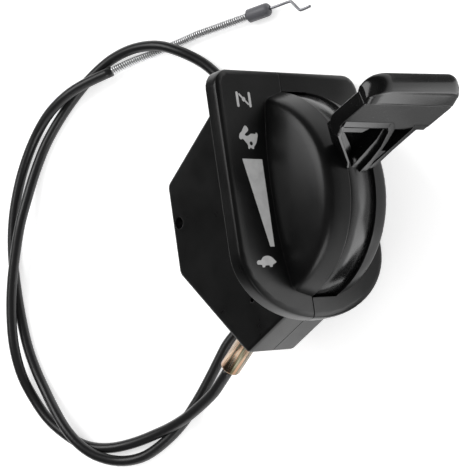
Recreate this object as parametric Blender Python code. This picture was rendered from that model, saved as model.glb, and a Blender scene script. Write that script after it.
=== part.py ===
"""Lever throttle control with its control cable, lying on its right side on a bench.

The housing is two moulded shells screwed together round a drum lever. The lever's drum
pulls a wire that slides through the ferrule, the black sheath and the steel conduit, and
comes out of the end cap as a Z-shaped engine hook.

Housing pieces are modelled in the housing's own axes: x across it, y along the bezel
towards the choke mark, z out of the bezel's face. The empty "control" then lays them down.
Angles round the pivot are measured from +z towards +y. All lengths are in metres.
"""
import math

import bmesh
import bpy
from mathutils import Matrix, Vector

# Bezel
BEZEL_LENGTH = 0.108
BEZEL_LEFT = 0.0439
BEZEL_RIGHT = 0.0401
BEZEL_CORNER = 0.008
BEZEL_END_RISE = 0.0296
PLATE_THICK = 0.0028
RIM_DEPTH = 0.007
RIM_WALL = 0.0026
FRONT_ROUND = ((0.0, 0.0026), (0.0003, 0.0013), (0.0010, 0.0004), (0.0022, 0.0))

# Body behind the bezel: its depth, its outline in (y, z), then its half width
BODY_DEPTH = 0.0772
BODY_OUTLINE = (
    (0.0500, -0.0005),
    (0.0558, -0.0260),
    (0.0205, -BODY_DEPTH),
    (-0.0207, -BODY_DEPTH),
    (-0.0629, -0.0389),
    (-0.0464, -0.0005),
)
BODY_HALF = 0.0139
EDGE_ROUND = 0.0020
WALL = 0.0024
SEAM_GAP = 0.0003
SEAM_STEP_Z = -0.0069

# Pivot and drum
PIVOT_Z = -0.014
DRUM_HALF = 0.0070
SHIELD_RADIUS = 0.0459
SHIELD_THICK = 0.0029
SHIELD_FROM = math.radians(-74)
SHIELD_TO = math.radians(75)
WEB_RADIUS = 0.038
WEB_LEFT = -0.0068
WEB_RIGHT = -0.0030
RIM_RIGHT = -0.0013
HUB_RADIUS = 0.0082
RIB = 0.0022

# Domes either side of the slot: outer profile as (distance from the mid-plane, radius)
SLOT_HALF = 0.0073
SLOT_RADIUS = 0.0470
DOME_PROFILE = (
    (0.0217, 0.0100),
    (0.0215, 0.0165),
    (0.0210, 0.0220),
    (0.0202, 0.0290),
    (0.0192, 0.0350),
    (0.0186, 0.0385),
    (0.0180, 0.0410),
    (0.0174, 0.0425),
    (0.0163, 0.0438),
    (0.0145, 0.0447),
    (0.0110, 0.0458),
    (0.0073, 0.0468),
)

# Lever
LEVER_ANGLE = math.radians(18)
PADDLE_HALF_WIDTH = 0.0255
PADDLE_FROM = 0.0610
PADDLE_TO = 0.0820
PADDLE_TOP = 0.0031
PADDLE_UNDER = -0.0033
PADDLE_CHAMFER = 0.0019
GRIP_BASE = 0.0800
GRIP_REACH = 0.0934
GRIP_CORNER = 0.0090
GRIP_SKEW = 0.050
GRIP_SECTION = (
    (0.0812, -0.0030),
    (0.0826, -0.0030),
    (0.0840, -0.0041),
    (0.0872, -0.0044),
    (0.0905, -0.0029),
    (0.0921, -0.0010),
    (0.0934, 0.0018),
    (0.0931, 0.0045),
    (0.0916, 0.0060),
    (0.0890, 0.0061),
    (0.0852, 0.0049),
    (0.0804, 0.0028),
)
STEM_ROOT = SHIELD_RADIUS - SHIELD_THICK / 2
STEM_FLARE_FROM = SHIELD_RADIUS + 0.0017
STEM_FLARE_TO = 0.0620
CENTRE_RIB_HALF = 0.0029
STEM_WALL = 0.0022

# Cable line inside the housing
CABLE_ANGLE = math.radians(34.7)
CABLE_OFFSET = 0.0238
FERRULE_FROM = 0.0450
FERRULE_TO = 0.0816
FERRULE_RADIUS = 0.00475
FERRULE_FLANGE = 0.0064
FLANGE_FROM = 0.0490
FLANGE_THICK = 0.0025
SADDLE_HALF = 0.0080
SADDLE_TO = 0.0570
WIRE_RADIUS = 0.00065
WIRE_BORE = 0.00095
WIRE_REST = 0.0074
WIRE_INSIDE_TO = 0.0579
PIN_REACH = 0.0082
WINDOW_LENGTH = 0.0047
WINDOW_ANGLE = math.radians(-39.3)

# Free cable
SHEATH_RADIUS = 0.0025
CONDUIT_RADIUS = 0.0019
CONDUIT_GROOVE = 0.0016
CONDUIT_PITCH = 0.0015
CAP_RADIUS = 0.0032
CAP_LENGTH = 0.0115
CAP_TIP = Vector((-0.0225, 0.09395, 0.0033))
CAP_HEADING = math.radians(4)
CAP_POCKET = 0.0083
WIRE_HIDDEN = 0.0262
ENGINE_HOOK = ((0.0101, 0.0), (0.0114, -0.0008), (0.0139, -0.0049), (0.0152, -0.0056), (0.0199, -0.0053))

# Fasteners
CLEAR = 0.0003
BOLT_RADIUS = 0.0030
SLEEVE_RADIUS = 0.00425
HUB_BORE = 0.00430
HEX_ACROSS = 0.010
BOSS_FACE = 0.0089
BOSS_RADIUS = 0.0085
SCREW_POINTS = ((0.0020, -BODY_DEPTH + 0.0052, -1), (-0.0515, -0.0250, 1), (0.0435, -0.0193, 1))
SCREW_BOSS = 0.0039
SCREW_SHANK = 0.0014
SCREW_HEAD = 0.0025
SCREW_SINK = 0.0058
ACCESS_HOLE = (-0.0405, -0.0306, 0.0012)

# Hand-laid route of the sheath, from the ferrule to the conduit, on the bench
SHEATH_ROUTE = (
    (-0.0690, -0.0705, 0.0135),
    (-0.0763, -0.0760, 0.0115),
    (-0.0902, -0.0828, 0.0082),
    (-0.1012, -0.0866, 0.0056),
    (-0.1112, -0.0889, 0.0037),
    (-0.1257, -0.0915, 0.0026),
    (-0.1391, -0.0922, 0.0026),
    (-0.1509, -0.0900, 0.0026),
    (-0.1610, -0.0844, 0.0026),
    (-0.1719, -0.0742, 0.0026),
    (-0.1787, -0.0625, 0.0033),
    (-0.1823, -0.0506, 0.0056),
    (-0.1832, -0.0365, 0.0077),
    (-0.1824, -0.0215, 0.0079),
    (-0.1798, -0.0067, 0.0079),
    (-0.1755, 0.0079, 0.0079),
    (-0.1708, 0.0214, 0.0076),
    (-0.1662, 0.0335, 0.0056),
    (-0.1608, 0.0465, 0.0032),
    (-0.1526, 0.0590, 0.0026),
    (-0.1417, 0.0703, 0.0026),
    (-0.1305, 0.0795, 0.0026),
    (-0.1200, 0.0862, 0.0027),
    (-0.1083, 0.0908, 0.0036),
    (-0.0949, 0.0922, 0.0056),
    (-0.0816, 0.0901, 0.0072),
    (-0.0712, 0.0852, 0.0066),
    (-0.0612, 0.0778, 0.0041),
    (-0.0545, 0.0700, 0.0027),
    (-0.0460, 0.0580, 0.0026),
    (-0.0375, 0.0430, 0.0026),
    (-0.0305, 0.0240, 0.0026),
    (-0.0285, 0.0040, 0.0026),
    (-0.0320, -0.0150, 0.0026),
    (-0.0405, -0.0320, 0.0026),
    (-0.0510, -0.0420, 0.0026),
    (-0.0610, -0.0475, 0.0026),
    (-0.0690, -0.0535, 0.0026),
    (-0.0742, -0.0595, 0.0026),
    (-0.0800, -0.0667, 0.0026),
    (-0.0886, -0.0766, 0.0026),
    (-0.0986, -0.0862, 0.0026),
    (-0.1095, -0.0935, 0.0026),
    (-0.1221, -0.0987, 0.0027),
    (-0.1345, -0.0990, 0.0037),
    (-0.1452, -0.0951, 0.0060),
    (-0.1530, -0.0887, 0.0077),
    (-0.1596, -0.0801, 0.0079),
    (-0.1656, -0.0702, 0.0062),
    (-0.1713, -0.0600, 0.0036),
    (-0.1757, -0.0496, 0.0026),
    (-0.1788, -0.0374, 0.0026),
    (-0.1804, -0.0238, 0.0026),
    (-0.1811, -0.0088, 0.0026),
    (-0.1808, 0.0060, 0.0026),
    (-0.1788, 0.0207, 0.0026),
    (-0.1749, 0.0340, 0.0026),
    (-0.1684, 0.0483, 0.0027),
    (-0.1590, 0.0615, 0.0037),
    (-0.1475, 0.0713, 0.0062),
    (-0.1352, 0.0776, 0.0079),
    (-0.1240, 0.0813, 0.0074),
)
SHEATH_END = (-0.1092, 0.0845, 0.0053)
SHEATH_SPACING = 0.0122
CONDUIT_ROUTE = (
    (-0.1040, 0.0857, 0.0043),
    (-0.0972, 0.0872, 0.0030),
    (-0.0856, 0.0886, 0.0021),
    (-0.0720, 0.0901, 0.0023),
)


# Modelling helpers
def clear_scene():
    for item in list(bpy.data.objects):
        bpy.data.objects.remove(item, do_unlink=True)


def material(name, colour, roughness, metallic=0.0):
    made = bpy.data.materials.new(name)
    made.use_nodes = True
    shader = made.node_tree.nodes["Principled BSDF"]
    shader.inputs["Base Color"].default_value = (*colour, 1.0)
    shader.inputs["Roughness"].default_value = roughness
    shader.inputs["Metallic"].default_value = metallic
    return made


def loft(loops, ring=False):
    """Skin a run of equal loops. A ring joins its last loop to its first."""
    bm = bmesh.new()
    rows = [[bm.verts.new(point) for point in loop] for loop in loops]
    pairs = list(zip(rows, rows[1:]))
    if ring:
        pairs.append((rows[-1], rows[0]))
    for first, second in pairs:
        for i in range(len(first)):
            j = (i + 1) % len(first)
            bm.faces.new((first[i], first[j], second[j], second[i]))
    if not ring:
        bm.faces.new(list(reversed(rows[0])))
        bm.faces.new(rows[-1])
    bmesh.ops.recalc_face_normals(bm, faces=bm.faces)
    return bm


def prism_x(outline, low, high):
    return loft([[(x, y, z) for y, z in outline] for x in (low, high)])


def prism_y(outline, low, high):
    return loft([[(x, y, z) for x, z in outline] for y in (low, high)])


def prism_z(outline, low, high):
    return loft([[(x, y, z) for x, y in outline] for z in (low, high)])


def circle_x(x, radius, steps, y=0.0, z=0.0):
    angles = [2 * math.pi * i / steps for i in range(steps)]
    return [(x, y + radius * math.sin(a), z + radius * math.cos(a)) for a in angles]


def turned(profile, steps, y=0.0, z=0.0, ring=False):
    """Solid of revolution about a line along x, from (x, radius) pairs."""
    return loft([circle_x(x, radius, steps, y, z) for x, radius in profile], ring)


def tube_profile(low, high, outer, inner):
    return ((low, inner), (low, outer), (high, outer), (high, inner))


def sector(inner, outer, start, end, steps):
    """Outline in (y, z) of a slice of a ring round the pivot."""
    turns = [start + (end - start) * i / steps for i in range(steps + 1)]
    far = [(outer * math.sin(a), outer * math.cos(a)) for a in turns]
    near = [(inner * math.sin(a), inner * math.cos(a)) for a in reversed(turns)]
    return far + near


def inset(outline, distance):
    """Move each side of a convex outline inwards by a distance."""
    count = len(outline)
    centre = Vector((sum(p[0] for p in outline) / count, sum(p[1] for p in outline) / count))
    lines = []
    for i in range(count):
        start = Vector(outline[i])
        along = (Vector(outline[(i + 1) % count]) - start).normalized()
        inward = Vector((-along.y, along.x))
        if inward.dot(centre - start) < 0:
            inward = -inward
        lines.append((start + inward * distance, along))
    points = []
    for i in range(count):
        (p, a), (q, b) = lines[i - 1], lines[i]
        cross = a.x * b.y - a.y * b.x
        reach = ((q.x - p.x) * b.y - (q.y - p.y) * b.x) / cross
        points.append(tuple(p + a * reach))
    return points


def body(name, bm, *moves):
    """Turn a bmesh into an object in the scene, after any matrices given."""
    for matrix in moves:
        bmesh.ops.transform(bm, matrix=matrix, verts=bm.verts)
    mesh = bpy.data.meshes.new(name)
    bm.to_mesh(mesh)
    bm.free()
    made = bpy.data.objects.new(name, mesh)
    bpy.context.scene.collection.objects.link(made)
    return made


def combine(target, tool, operation="DIFFERENCE"):
    """Cut, join or intersect a solid with another one, which is used up."""
    if isinstance(tool, bmesh.types.BMesh):
        tool = body("tool", tool)
    step = target.modifiers.new(operation, "BOOLEAN")
    step.operation = operation
    step.solver = "EXACT"
    step.object = tool
    graph = bpy.context.evaluated_depsgraph_get()
    mesh = bpy.data.meshes.new_from_object(target.evaluated_get(graph))
    target.modifiers.clear()
    spent = target.data
    target.data = mesh
    mesh.name = target.name
    bpy.data.meshes.remove(spent)
    bpy.data.objects.remove(tool, do_unlink=True)
    return target


def rounded(bm, size, steps):
    bmesh.ops.bevel(bm, geom=bm.edges[:], offset=size, segments=steps, affect="EDGES", profile=0.5)
    return bm


def finish(made, coat, parent, origin=(0.0, 0.0, 0.0), smooth_angle=35):
    """Dress a solid, hang it on its parent, and put its origin where it turns or slides."""
    made.data.materials.clear()
    made.data.materials.append(coat)
    made.data.transform(Matrix.Translation(-Vector(origin)))
    made.data.shade_smooth()
    made.data.set_sharp_from_angle(angle=math.radians(smooth_angle))
    made.parent = parent
    made.location = origin
    return made


def sweep(points, radii, steps):
    """Tube of loops along a path, one radius a point, with flat ends."""
    path = [Vector(p) for p in points]
    tangents = []
    for i in range(len(path)):
        before = path[max(i - 1, 0)]
        after = path[min(i + 1, len(path) - 1)]
        tangents.append((after - before).normalized())
    side = tangents[0].orthogonal().normalized()
    loops = []
    for point, tangent, radius in zip(path, tangents, radii):
        side = (side - tangent * side.dot(tangent)).normalized()
        other = tangent.cross(side)
        turns = [2 * math.pi * i / steps for i in range(steps)]
        loops.append([point + (side * math.cos(a) + other * math.sin(a)) * radius for a in turns])
    return loops


def smooth_path(points, spacing):
    """Even points along a smooth curve through the given ones."""
    path = [Vector(p) for p in points]
    ends = [path[0] * 2 - path[1]] + path + [path[-1] * 2 - path[-2]]
    fine = []
    for i in range(1, len(ends) - 2):
        a, b, c, d = ends[i - 1:i + 3]
        for k in range(12):
            t = k / 12
            bend = 2 * b + (c - a) * t + (2 * a - 5 * b + 4 * c - d) * t * t
            fine.append((bend + (3 * b - a - 3 * c + d) * t ** 3) * 0.5)
    fine.append(path[-1])
    travelled = [0.0]
    for first, second in zip(fine, fine[1:]):
        travelled.append(travelled[-1] + (second - first).length)
    count = max(2, round(travelled[-1] / spacing))
    even = []
    k = 0
    for i in range(count + 1):
        goal = travelled[-1] * i / count
        while k < len(fine) - 2 and travelled[k + 1] < goal:
            k += 1
        share = (goal - travelled[k]) / (travelled[k + 1] - travelled[k])
        even.append(fine[k].lerp(fine[k + 1], share))
    return even


def hexagon(across):
    corner = across / math.sqrt(3)
    return [(corner * math.sin(math.pi * i / 3), corner * math.cos(math.pi * i / 3)) for i in range(6)]


# Line of the wire inside the housing
CABLE_DIRECTION = Vector((0.0, -math.sin(CABLE_ANGLE), -math.cos(CABLE_ANGLE)))
CABLE_FOOT = Vector((0.0, -math.cos(CABLE_ANGLE), math.sin(CABLE_ANGLE))) * CABLE_OFFSET
PIVOT = Vector((0.0, 0.0, PIVOT_Z))


def cable_point(along):
    """Point on the wire's line, counted from its nearest point to the pivot."""
    return PIVOT + CABLE_FOOT + CABLE_DIRECTION * along


def cable_frame():
    """Matrix that lays a solid modelled along x onto the wire's line."""
    turn = Vector((1.0, 0.0, 0.0)).rotation_difference(CABLE_DIRECTION).to_matrix().to_4x4()
    return Matrix.Translation(cable_point(0.0)) @ turn


# Housing shells
def bezel_outline(shrink):
    left = -BEZEL_LEFT + shrink
    right = BEZEL_RIGHT - shrink
    top = BEZEL_LENGTH / 2 - shrink
    corner = max(BEZEL_CORNER - shrink, 0.002)
    turns = [math.pi / 2 * i / 6 for i in range(7)]
    left_corner = [(left + corner * (1 - math.sin(a)), top - corner * (1 - math.cos(a))) for a in turns]
    right_corner = [(right - corner * (1 - math.cos(a)), top - corner * (1 - math.sin(a))) for a in turns]
    middle = (BEZEL_RIGHT - BEZEL_LEFT) / 2
    half = (BEZEL_RIGHT + BEZEL_LEFT) / 2 - shrink
    rise = BEZEL_END_RISE - shrink
    base = -BEZEL_LENGTH / 2 + BEZEL_END_RISE
    arc = [math.pi + math.pi * i / 30 for i in range(31)]
    bottom = [(middle + half * math.cos(a), base + rise * math.sin(a)) for a in arc]
    return left_corner + bottom + right_corner


def make_bezel():
    levels = [(-RIM_DEPTH, 0.0)]
    levels += [(-depth, shrink) for depth, shrink in reversed(FRONT_ROUND)]
    loops = [[(x, y, z) for x, y in bezel_outline(shrink)] for z, shrink in levels]
    plate = body("housing", loft(loops))
    combine(plate, prism_z(bezel_outline(RIM_WALL), -RIM_DEPTH - 0.001, -PLATE_THICK))
    return plate


def dome_profile(shrink):
    outer = [(-(x - shrink), r - shrink) for x, r in DOME_PROFILE[:-1]]
    outer.append((-SLOT_HALF, DOME_PROFILE[-1][1] - shrink))
    return outer + [(-x, r) for x, r in reversed(outer)]


def make_dome(shrink, floor):
    dome = body("dome", turned(dome_profile(shrink), 72, z=PIVOT_Z))
    keep = [(-0.03, floor), (0.03, floor), (0.03, 0.05), (-0.03, 0.05)]
    return combine(dome, prism_y(keep, -0.06, 0.06), "INTERSECT")


def make_saddle():
    """Block inside the shells that holds the ferrule's flange."""
    low, high = FERRULE_FROM - 0.0002, SADDLE_TO
    corners = []
    for along, side in ((low, -1), (high, -1), (high, 1), (low, 1)):
        point = cable_point(along) + CABLE_FOOT.normalized() * SADDLE_HALF * side
        corners.append((point.y, point.z))
    return prism_x(corners, -BODY_HALF + 0.001, BODY_HALF - 0.001)


def make_housing():
    housing = make_bezel()
    shell = rounded(prism_x(BODY_OUTLINE, -BODY_HALF, BODY_HALF), EDGE_ROUND, 2)
    combine(housing, shell, "UNION")
    combine(housing, make_dome(0.0, -0.0010), "UNION")
    inner = BODY_HALF - WALL
    combine(housing, prism_x(inset(BODY_OUTLINE, WALL), -inner, inner))
    neck = [(0.0385, -0.0040), (0.0385, 0.0050), (-0.0385, 0.0050), (-0.0385, -0.0040)]
    combine(housing, prism_x(neck, -inner, inner))
    combine(housing, make_dome(WALL, 0.0002))
    combine(housing, turned(((-SLOT_HALF, SLOT_RADIUS), (SLOT_HALF, SLOT_RADIUS)), 72, z=PIVOT_Z))
    for side in (-1, 1):
        ring = ((side * BOSS_FACE, BOSS_RADIUS), (side * (BODY_HALF - 0.001), BOSS_RADIUS))
        combine(housing, turned(ring, 32, z=PIVOT_Z), "UNION")
    for y, z, _ in SCREW_POINTS:
        post = ((-BODY_HALF + 0.001, SCREW_BOSS), (BODY_HALF - 0.001, SCREW_BOSS))
        combine(housing, turned(post, 20, y, z), "UNION")
    combine(housing, make_saddle(), "UNION")
    return housing


def drill_housing(housing):
    through = BODY_HALF + 0.002
    bore = BOLT_RADIUS + CLEAR
    combine(housing, turned(((-through, bore), (through, bore)), 24, z=PIVOT_Z))
    sink = BODY_HALF - SCREW_SINK
    for y, z, side in SCREW_POINTS:
        steps = (
            (side * through, SCREW_HEAD + CLEAR),
            (side * sink, SCREW_HEAD + CLEAR),
            (side * sink, SCREW_SHANK + CLEAR),
            (-side * (BODY_HALF - 0.0028), SCREW_SHANK + CLEAR),
        )
        combine(housing, turned(steps, 16, y, z))
    y, z, radius = ACCESS_HOLE
    combine(housing, turned(((-through, radius), (-BODY_HALF + 0.004, radius)), 12, y, z))
    clear = FERRULE_RADIUS + CLEAR
    wide = FERRULE_FLANGE + CLEAR
    pocket = (
        (FERRULE_FROM - 0.004, clear),
        (FLANGE_FROM - CLEAR, clear),
        (FLANGE_FROM - CLEAR, wide),
        (FLANGE_FROM + FLANGE_THICK + CLEAR, wide),
        (FLANGE_FROM + FLANGE_THICK + CLEAR, clear),
        (FERRULE_TO, clear),
    )
    cutter = turned(pocket, 24)
    bmesh.ops.transform(cutter, matrix=cable_frame(), verts=cutter.verts)
    combine(housing, cutter)


def split_housing(housing):
    """Part the housing along its stepped seam into the two mouldings."""
    gap = SEAM_GAP / 2
    step_low = SEAM_STEP_Z - gap
    step_high = SEAM_STEP_Z + gap
    edge = -SLOT_HALF
    left = [(-0.06, -0.09), (-gap, -0.09), (-gap, step_low), (edge - gap, step_low),
            (edge - gap, 0.05), (-0.06, 0.05)]
    right = [(0.06, -0.09), (0.06, 0.05), (edge + gap, 0.05), (edge + gap, step_high),
             (gap, step_high), (gap, -0.09)]
    other = housing.copy()
    other.data = housing.data.copy()
    bpy.context.scene.collection.objects.link(other)
    housing.name = "left_shell"
    other.name = "right_shell"
    combine(housing, prism_y(left, -0.08, 0.08), "INTERSECT")
    combine(other, prism_y(right, -0.08, 0.08), "INTERSECT")
    return housing, other


# Drum lever
def blade_frame():
    """Matrix from (x across, y along the blade, z above it) to the lever's axes."""
    along = Vector((0.0, math.sin(LEVER_ANGLE), math.cos(LEVER_ANGLE)))
    above = Vector((0.0, math.cos(LEVER_ANGLE), -math.sin(LEVER_ANGLE)))
    across = Vector((1.0, 0.0, 0.0))
    return Matrix((across, along, above)).transposed().to_4x4()


def blade_yz(along, above):
    """Blade coordinates to the lever's (y, z)."""
    y = along * math.sin(LEVER_ANGLE) + above * math.cos(LEVER_ANGLE)
    z = along * math.cos(LEVER_ANGLE) - above * math.sin(LEVER_ANGLE)
    return (y, z)


def in_blade(bm):
    bmesh.ops.transform(bm, matrix=blade_frame(), verts=bm.verts)
    bmesh.ops.recalc_face_normals(bm, faces=bm.faces)
    return bm


def make_drum():
    drum = body("throttle_lever", turned(((-DRUM_HALF, HUB_RADIUS), (DRUM_HALF, HUB_RADIUS)), 36))
    combine(drum, turned(((WEB_LEFT, WEB_RADIUS), (WEB_RIGHT, WEB_RADIUS)), 60), "UNION")
    rim = tube_profile(-DRUM_HALF + 0.0001, RIM_RIGHT, WEB_RADIUS + 0.0002, WEB_RADIUS - RIB)
    combine(drum, turned(rim, 60, ring=True), "UNION")
    half = RIB / 2 / WEB_RADIUS
    plate = sector(WEB_RADIUS - 0.001, SHIELD_RADIUS - 0.001, SHIELD_FROM + half, SHIELD_TO - half, 38)
    combine(drum, prism_x(plate, WEB_LEFT + 0.0001, WEB_RIGHT - 0.0001), "UNION")
    shield = sector(SHIELD_RADIUS - SHIELD_THICK, SHIELD_RADIUS, SHIELD_FROM, SHIELD_TO, 38)
    combine(drum, prism_x(shield, -DRUM_HALF, DRUM_HALF), "UNION")
    turns = [math.radians(turn) for turn in (-30, 2, 28)]
    turns += [SHIELD_FROM + math.radians(13), SHIELD_TO - 2.2 * half]
    for turn in turns:
        rib = sector(WEB_RADIUS - 0.0015, SHIELD_RADIUS - 0.001, turn - half, turn + half, 1)
        combine(drum, prism_x(rib, -DRUM_HALF + 0.0004, DRUM_HALF - 0.0004), "UNION")
    return drum


def flare(side_wall):
    """Plan of the stem, which widens from the drum to the paddle."""
    near = DRUM_HALF - 0.0004 - side_wall
    wide = PADDLE_HALF_WIDTH - 0.0003 - side_wall
    low = STEM_FLARE_FROM + side_wall * 0.4
    high = STEM_FLARE_TO + side_wall * 0.4
    return near, wide, low, high


def make_stem():
    front = math.radians(24.0)
    profile = [
        (STEM_ROOT * math.sin(front), STEM_ROOT * math.cos(front)),
        blade_yz(0.0660, PADDLE_TOP + 0.0002),
        blade_yz(0.0700, PADDLE_TOP - 0.0012),
        blade_yz(0.0700, PADDLE_UNDER + 0.0006),
        (0.0158, 0.0680),
        (-0.0005, STEM_ROOT),
    ]
    near, wide, low, high = flare(0.0)
    root = STEM_ROOT - 0.0015
    plan = [(-near, root), (-near, low), (-wide, high), (-wide, 0.072),
            (wide, 0.072), (wide, high), (near, low), (near, root)]
    stem = body("stem", prism_x(profile, -PADDLE_HALF_WIDTH, PADDLE_HALF_WIDTH))
    combine(stem, in_blade(prism_z(plan, -0.040, 0.020)), "INTERSECT")
    near, wide, low, high = flare(STEM_WALL)
    for side in (-1, 1):
        if side < 0:
            hollow = [(0.0150, 0.0472), (0.0202, 0.0618), (0.0165, 0.0652),
                      (0.0100, 0.0665), (-0.0060, 0.0472)]
        else:
            hollow = [(0.0150, 0.0472), (0.0170, 0.0632), (0.0184, 0.0686),
                      (0.0080, 0.0700), (-0.0060, 0.0472)]
        reach = [(side * CENTRE_RIB_HALF, 0.040), (side * near, 0.040), (side * near, low),
                 (side * wide, high), (side * wide, 0.075), (side * CENTRE_RIB_HALF, 0.075)]
        pocket = body("pocket", prism_x(hollow, -PADDLE_HALF_WIDTH, PADDLE_HALF_WIDTH))
        combine(pocket, in_blade(prism_z(reach, -0.045, 0.030)), "INTERSECT")
        combine(stem, pocket)
    inside = PADDLE_UNDER + 0.0006
    trim = [blade_yz(0.0760, inside), blade_yz(0.0685, inside), (0.0158, 0.0590), (-0.0012, STEM_ROOT - 0.0004),
            (-0.0120, STEM_ROOT - 0.0004), (-0.0120, 0.0760)]
    combine(stem, prism_x(trim, CENTRE_RIB_HALF + 0.0012, PADDLE_HALF_WIDTH + 0.001))
    return stem


def make_paddle():
    """Flat blade, chamfered along the underside of its two side edges."""
    wide = PADDLE_HALF_WIDTH
    section = [(-wide, PADDLE_TOP - 0.0008), (-wide, PADDLE_UNDER + PADDLE_CHAMFER),
               (-wide + PADDLE_CHAMFER, PADDLE_UNDER), (wide - PADDLE_CHAMFER, PADDLE_UNDER),
               (wide, PADDLE_UNDER + PADDLE_CHAMFER), (wide, PADDLE_TOP - 0.0008),
               (wide - 0.0008, PADDLE_TOP), (-wide + 0.0008, PADDLE_TOP)]
    return body("paddle", in_blade(prism_y(section, PADDLE_FROM, PADDLE_TO)))


def grip_loop(across):
    """Section of the grip at one station, drawn in where its corners turn."""
    wide = PADDLE_HALF_WIDTH
    past = max(0.0, abs(across) - (wide - GRIP_CORNER)) / GRIP_CORNER
    reach = GRIP_REACH + GRIP_SKEW * across - GRIP_CORNER * (1 - math.sqrt(max(0.0, 1 - past ** 2)))
    stretch = (reach - GRIP_BASE) / (GRIP_REACH - GRIP_BASE)
    thin = 1 - 0.30 * past ** 6
    return [(across, GRIP_BASE + (along - GRIP_BASE) * stretch, above * thin)
            for along, above in GRIP_SECTION]


def make_grip():
    """Thick rounded bar across the end of the paddle."""
    straight = PADDLE_HALF_WIDTH - GRIP_CORNER
    turns = [math.pi / 2 * i / 8 for i in range(9)]
    half = [straight + GRIP_CORNER * math.sin(a) * 0.990 for a in turns]
    stations = [-x for x in reversed(half)] + [-straight / 2, 0.0, straight / 2] + half
    return body("grip", in_blade(loft([grip_loop(x) for x in stations])))


def cut_wire_window(lever):
    """Radial slot in the web for the wire's hook pin."""
    half = WIRE_RADIUS + 0.0010
    low = CABLE_OFFSET - half
    high = CABLE_OFFSET + WINDOW_LENGTH + half
    along = Vector((0.0, math.sin(WINDOW_ANGLE), math.cos(WINDOW_ANGLE)))
    side = Vector((0.0, along.z, -along.y))
    corners = []
    for reach, offset in ((low, -1), (low, 1), (high, 1), (high, -1)):
        point = along * reach + side * half * offset
        corners.append((point.y, point.z))
    combine(lever, prism_x(corners, -0.009, 0.001))


def make_lever():
    lever = make_drum()
    combine(lever, make_stem(), "UNION")
    combine(lever, make_paddle(), "UNION")
    combine(lever, make_grip(), "UNION")
    bore = ((-DRUM_HALF - 0.001, HUB_BORE), (DRUM_HALF + 0.001, HUB_BORE))
    combine(lever, turned(bore, 48))
    cut_wire_window(lever)
    lever.data.transform(Matrix.Translation(PIVOT))
    return lever


# Pivot and screws
def make_pivot(steel, control):
    sleeve = tube_profile(-BOSS_FACE + CLEAR, BOSS_FACE - CLEAR, SLEEVE_RADIUS, BOLT_RADIUS + CLEAR)
    finish(body("pivot_sleeve", turned(sleeve, 48, z=PIVOT_Z, ring=True)), steel, control)
    head = -BODY_HALF - CLEAR
    hexed = [(y, z + PIVOT_Z) for y, z in hexagon(HEX_ACROSS)]
    bolt = body("pivot_bolt", prism_x(hexed, head - 0.0040, head))
    shank = ((head - 0.001, BOLT_RADIUS), (BODY_HALF + 0.0072, BOLT_RADIUS), (BODY_HALF + 0.0078, 0.0024))
    combine(bolt, turned(shank, 24, z=PIVOT_Z), "UNION")
    finish(bolt, steel, control)
    low = BODY_HALF + CLEAR
    washer = tube_profile(low, low + 0.0012, 0.0060, BOLT_RADIUS + CLEAR)
    finish(body("pivot_washer", turned(washer, 28, z=PIVOT_Z, ring=True)), steel, control)
    low += 0.0012 + CLEAR
    nut = body("pivot_nut", prism_x(hexed, low, low + 0.0050))
    thread = BOLT_RADIUS + CLEAR
    combine(nut, turned(((low - 0.001, thread), (low + 0.006, thread)), 24, z=PIVOT_Z))
    finish(nut, steel, control)


def make_side_washers(plastic, spring, control):
    near = DRUM_HALF + CLEAR
    far = BOSS_FACE - CLEAR
    hole = SLEEVE_RADIUS + CLEAR
    flat = tube_profile(-far, -near, HUB_RADIUS - 0.0004, hole)
    finish(body("friction_washer", turned(flat, 32, z=PIVOT_Z, ring=True)), plastic, control)
    steps = 36
    loops = []
    for i in range(steps):
        turn = 2 * math.pi * i / steps
        middle = (near + far) / 2 + 0.00035 * math.cos(3 * turn)
        loop = []
        for x, radius in tube_profile(middle - 0.00025, middle + 0.00025, 0.0078, hole + 0.0002):
            loop.append((x, radius * math.sin(turn), PIVOT_Z + radius * math.cos(turn)))
        loops.append(loop)
    finish(body("wave_washer", loft(loops, ring=True)), spring, control)


def make_screws(steel, control):
    seat = BODY_HALF - SCREW_SINK + CLEAR
    for number, (y, z, side) in enumerate(SCREW_POINTS, 1):
        profile = (
            (side * (seat + 0.0019), 0.0016),
            (side * (seat + 0.0014), 0.0023),
            (side * (seat + 0.0008), SCREW_HEAD),
            (side * seat, SCREW_HEAD),
            (side * seat, SCREW_SHANK),
            (-side * (BODY_HALF - 0.0050), SCREW_SHANK),
            (-side * (BODY_HALF - 0.0036), 0.0005),
        )
        screw = body("housing_screw_%d" % number, turned(profile, 16, y, z))
        for turn in (0, 1):
            wide, tall = (0.0014, 0.00035) if turn else (0.00035, 0.0014)
            slot = [(y - wide, z - tall), (y + wide, z - tall), (y + wide, z + tall), (y - wide, z + tall)]
            combine(screw, prism_x(slot, side * (seat + 0.0010), side * (seat + 0.0030)))
        finish(screw, steel, control)


# Cable and its ends
def make_ferrule(zinc, control):
    profile = (
        (FERRULE_FROM, WIRE_BORE + 0.0003),
        (FERRULE_FROM, FERRULE_RADIUS),
        (FLANGE_FROM, FERRULE_RADIUS),
        (FLANGE_FROM, FERRULE_FLANGE),
        (FLANGE_FROM + FLANGE_THICK, FERRULE_FLANGE),
        (FLANGE_FROM + FLANGE_THICK, FERRULE_RADIUS),
        (FERRULE_TO - 0.0009, FERRULE_RADIUS),
        (FERRULE_TO - 0.0003, FERRULE_RADIUS - 0.0003),
        (FERRULE_TO, FERRULE_RADIUS - 0.0010),
        (FERRULE_TO, WIRE_BORE + 0.0003),
    )
    finish(body("cable_ferrule", turned(profile, 28, ring=True), cable_frame()), zinc, control)


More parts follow.
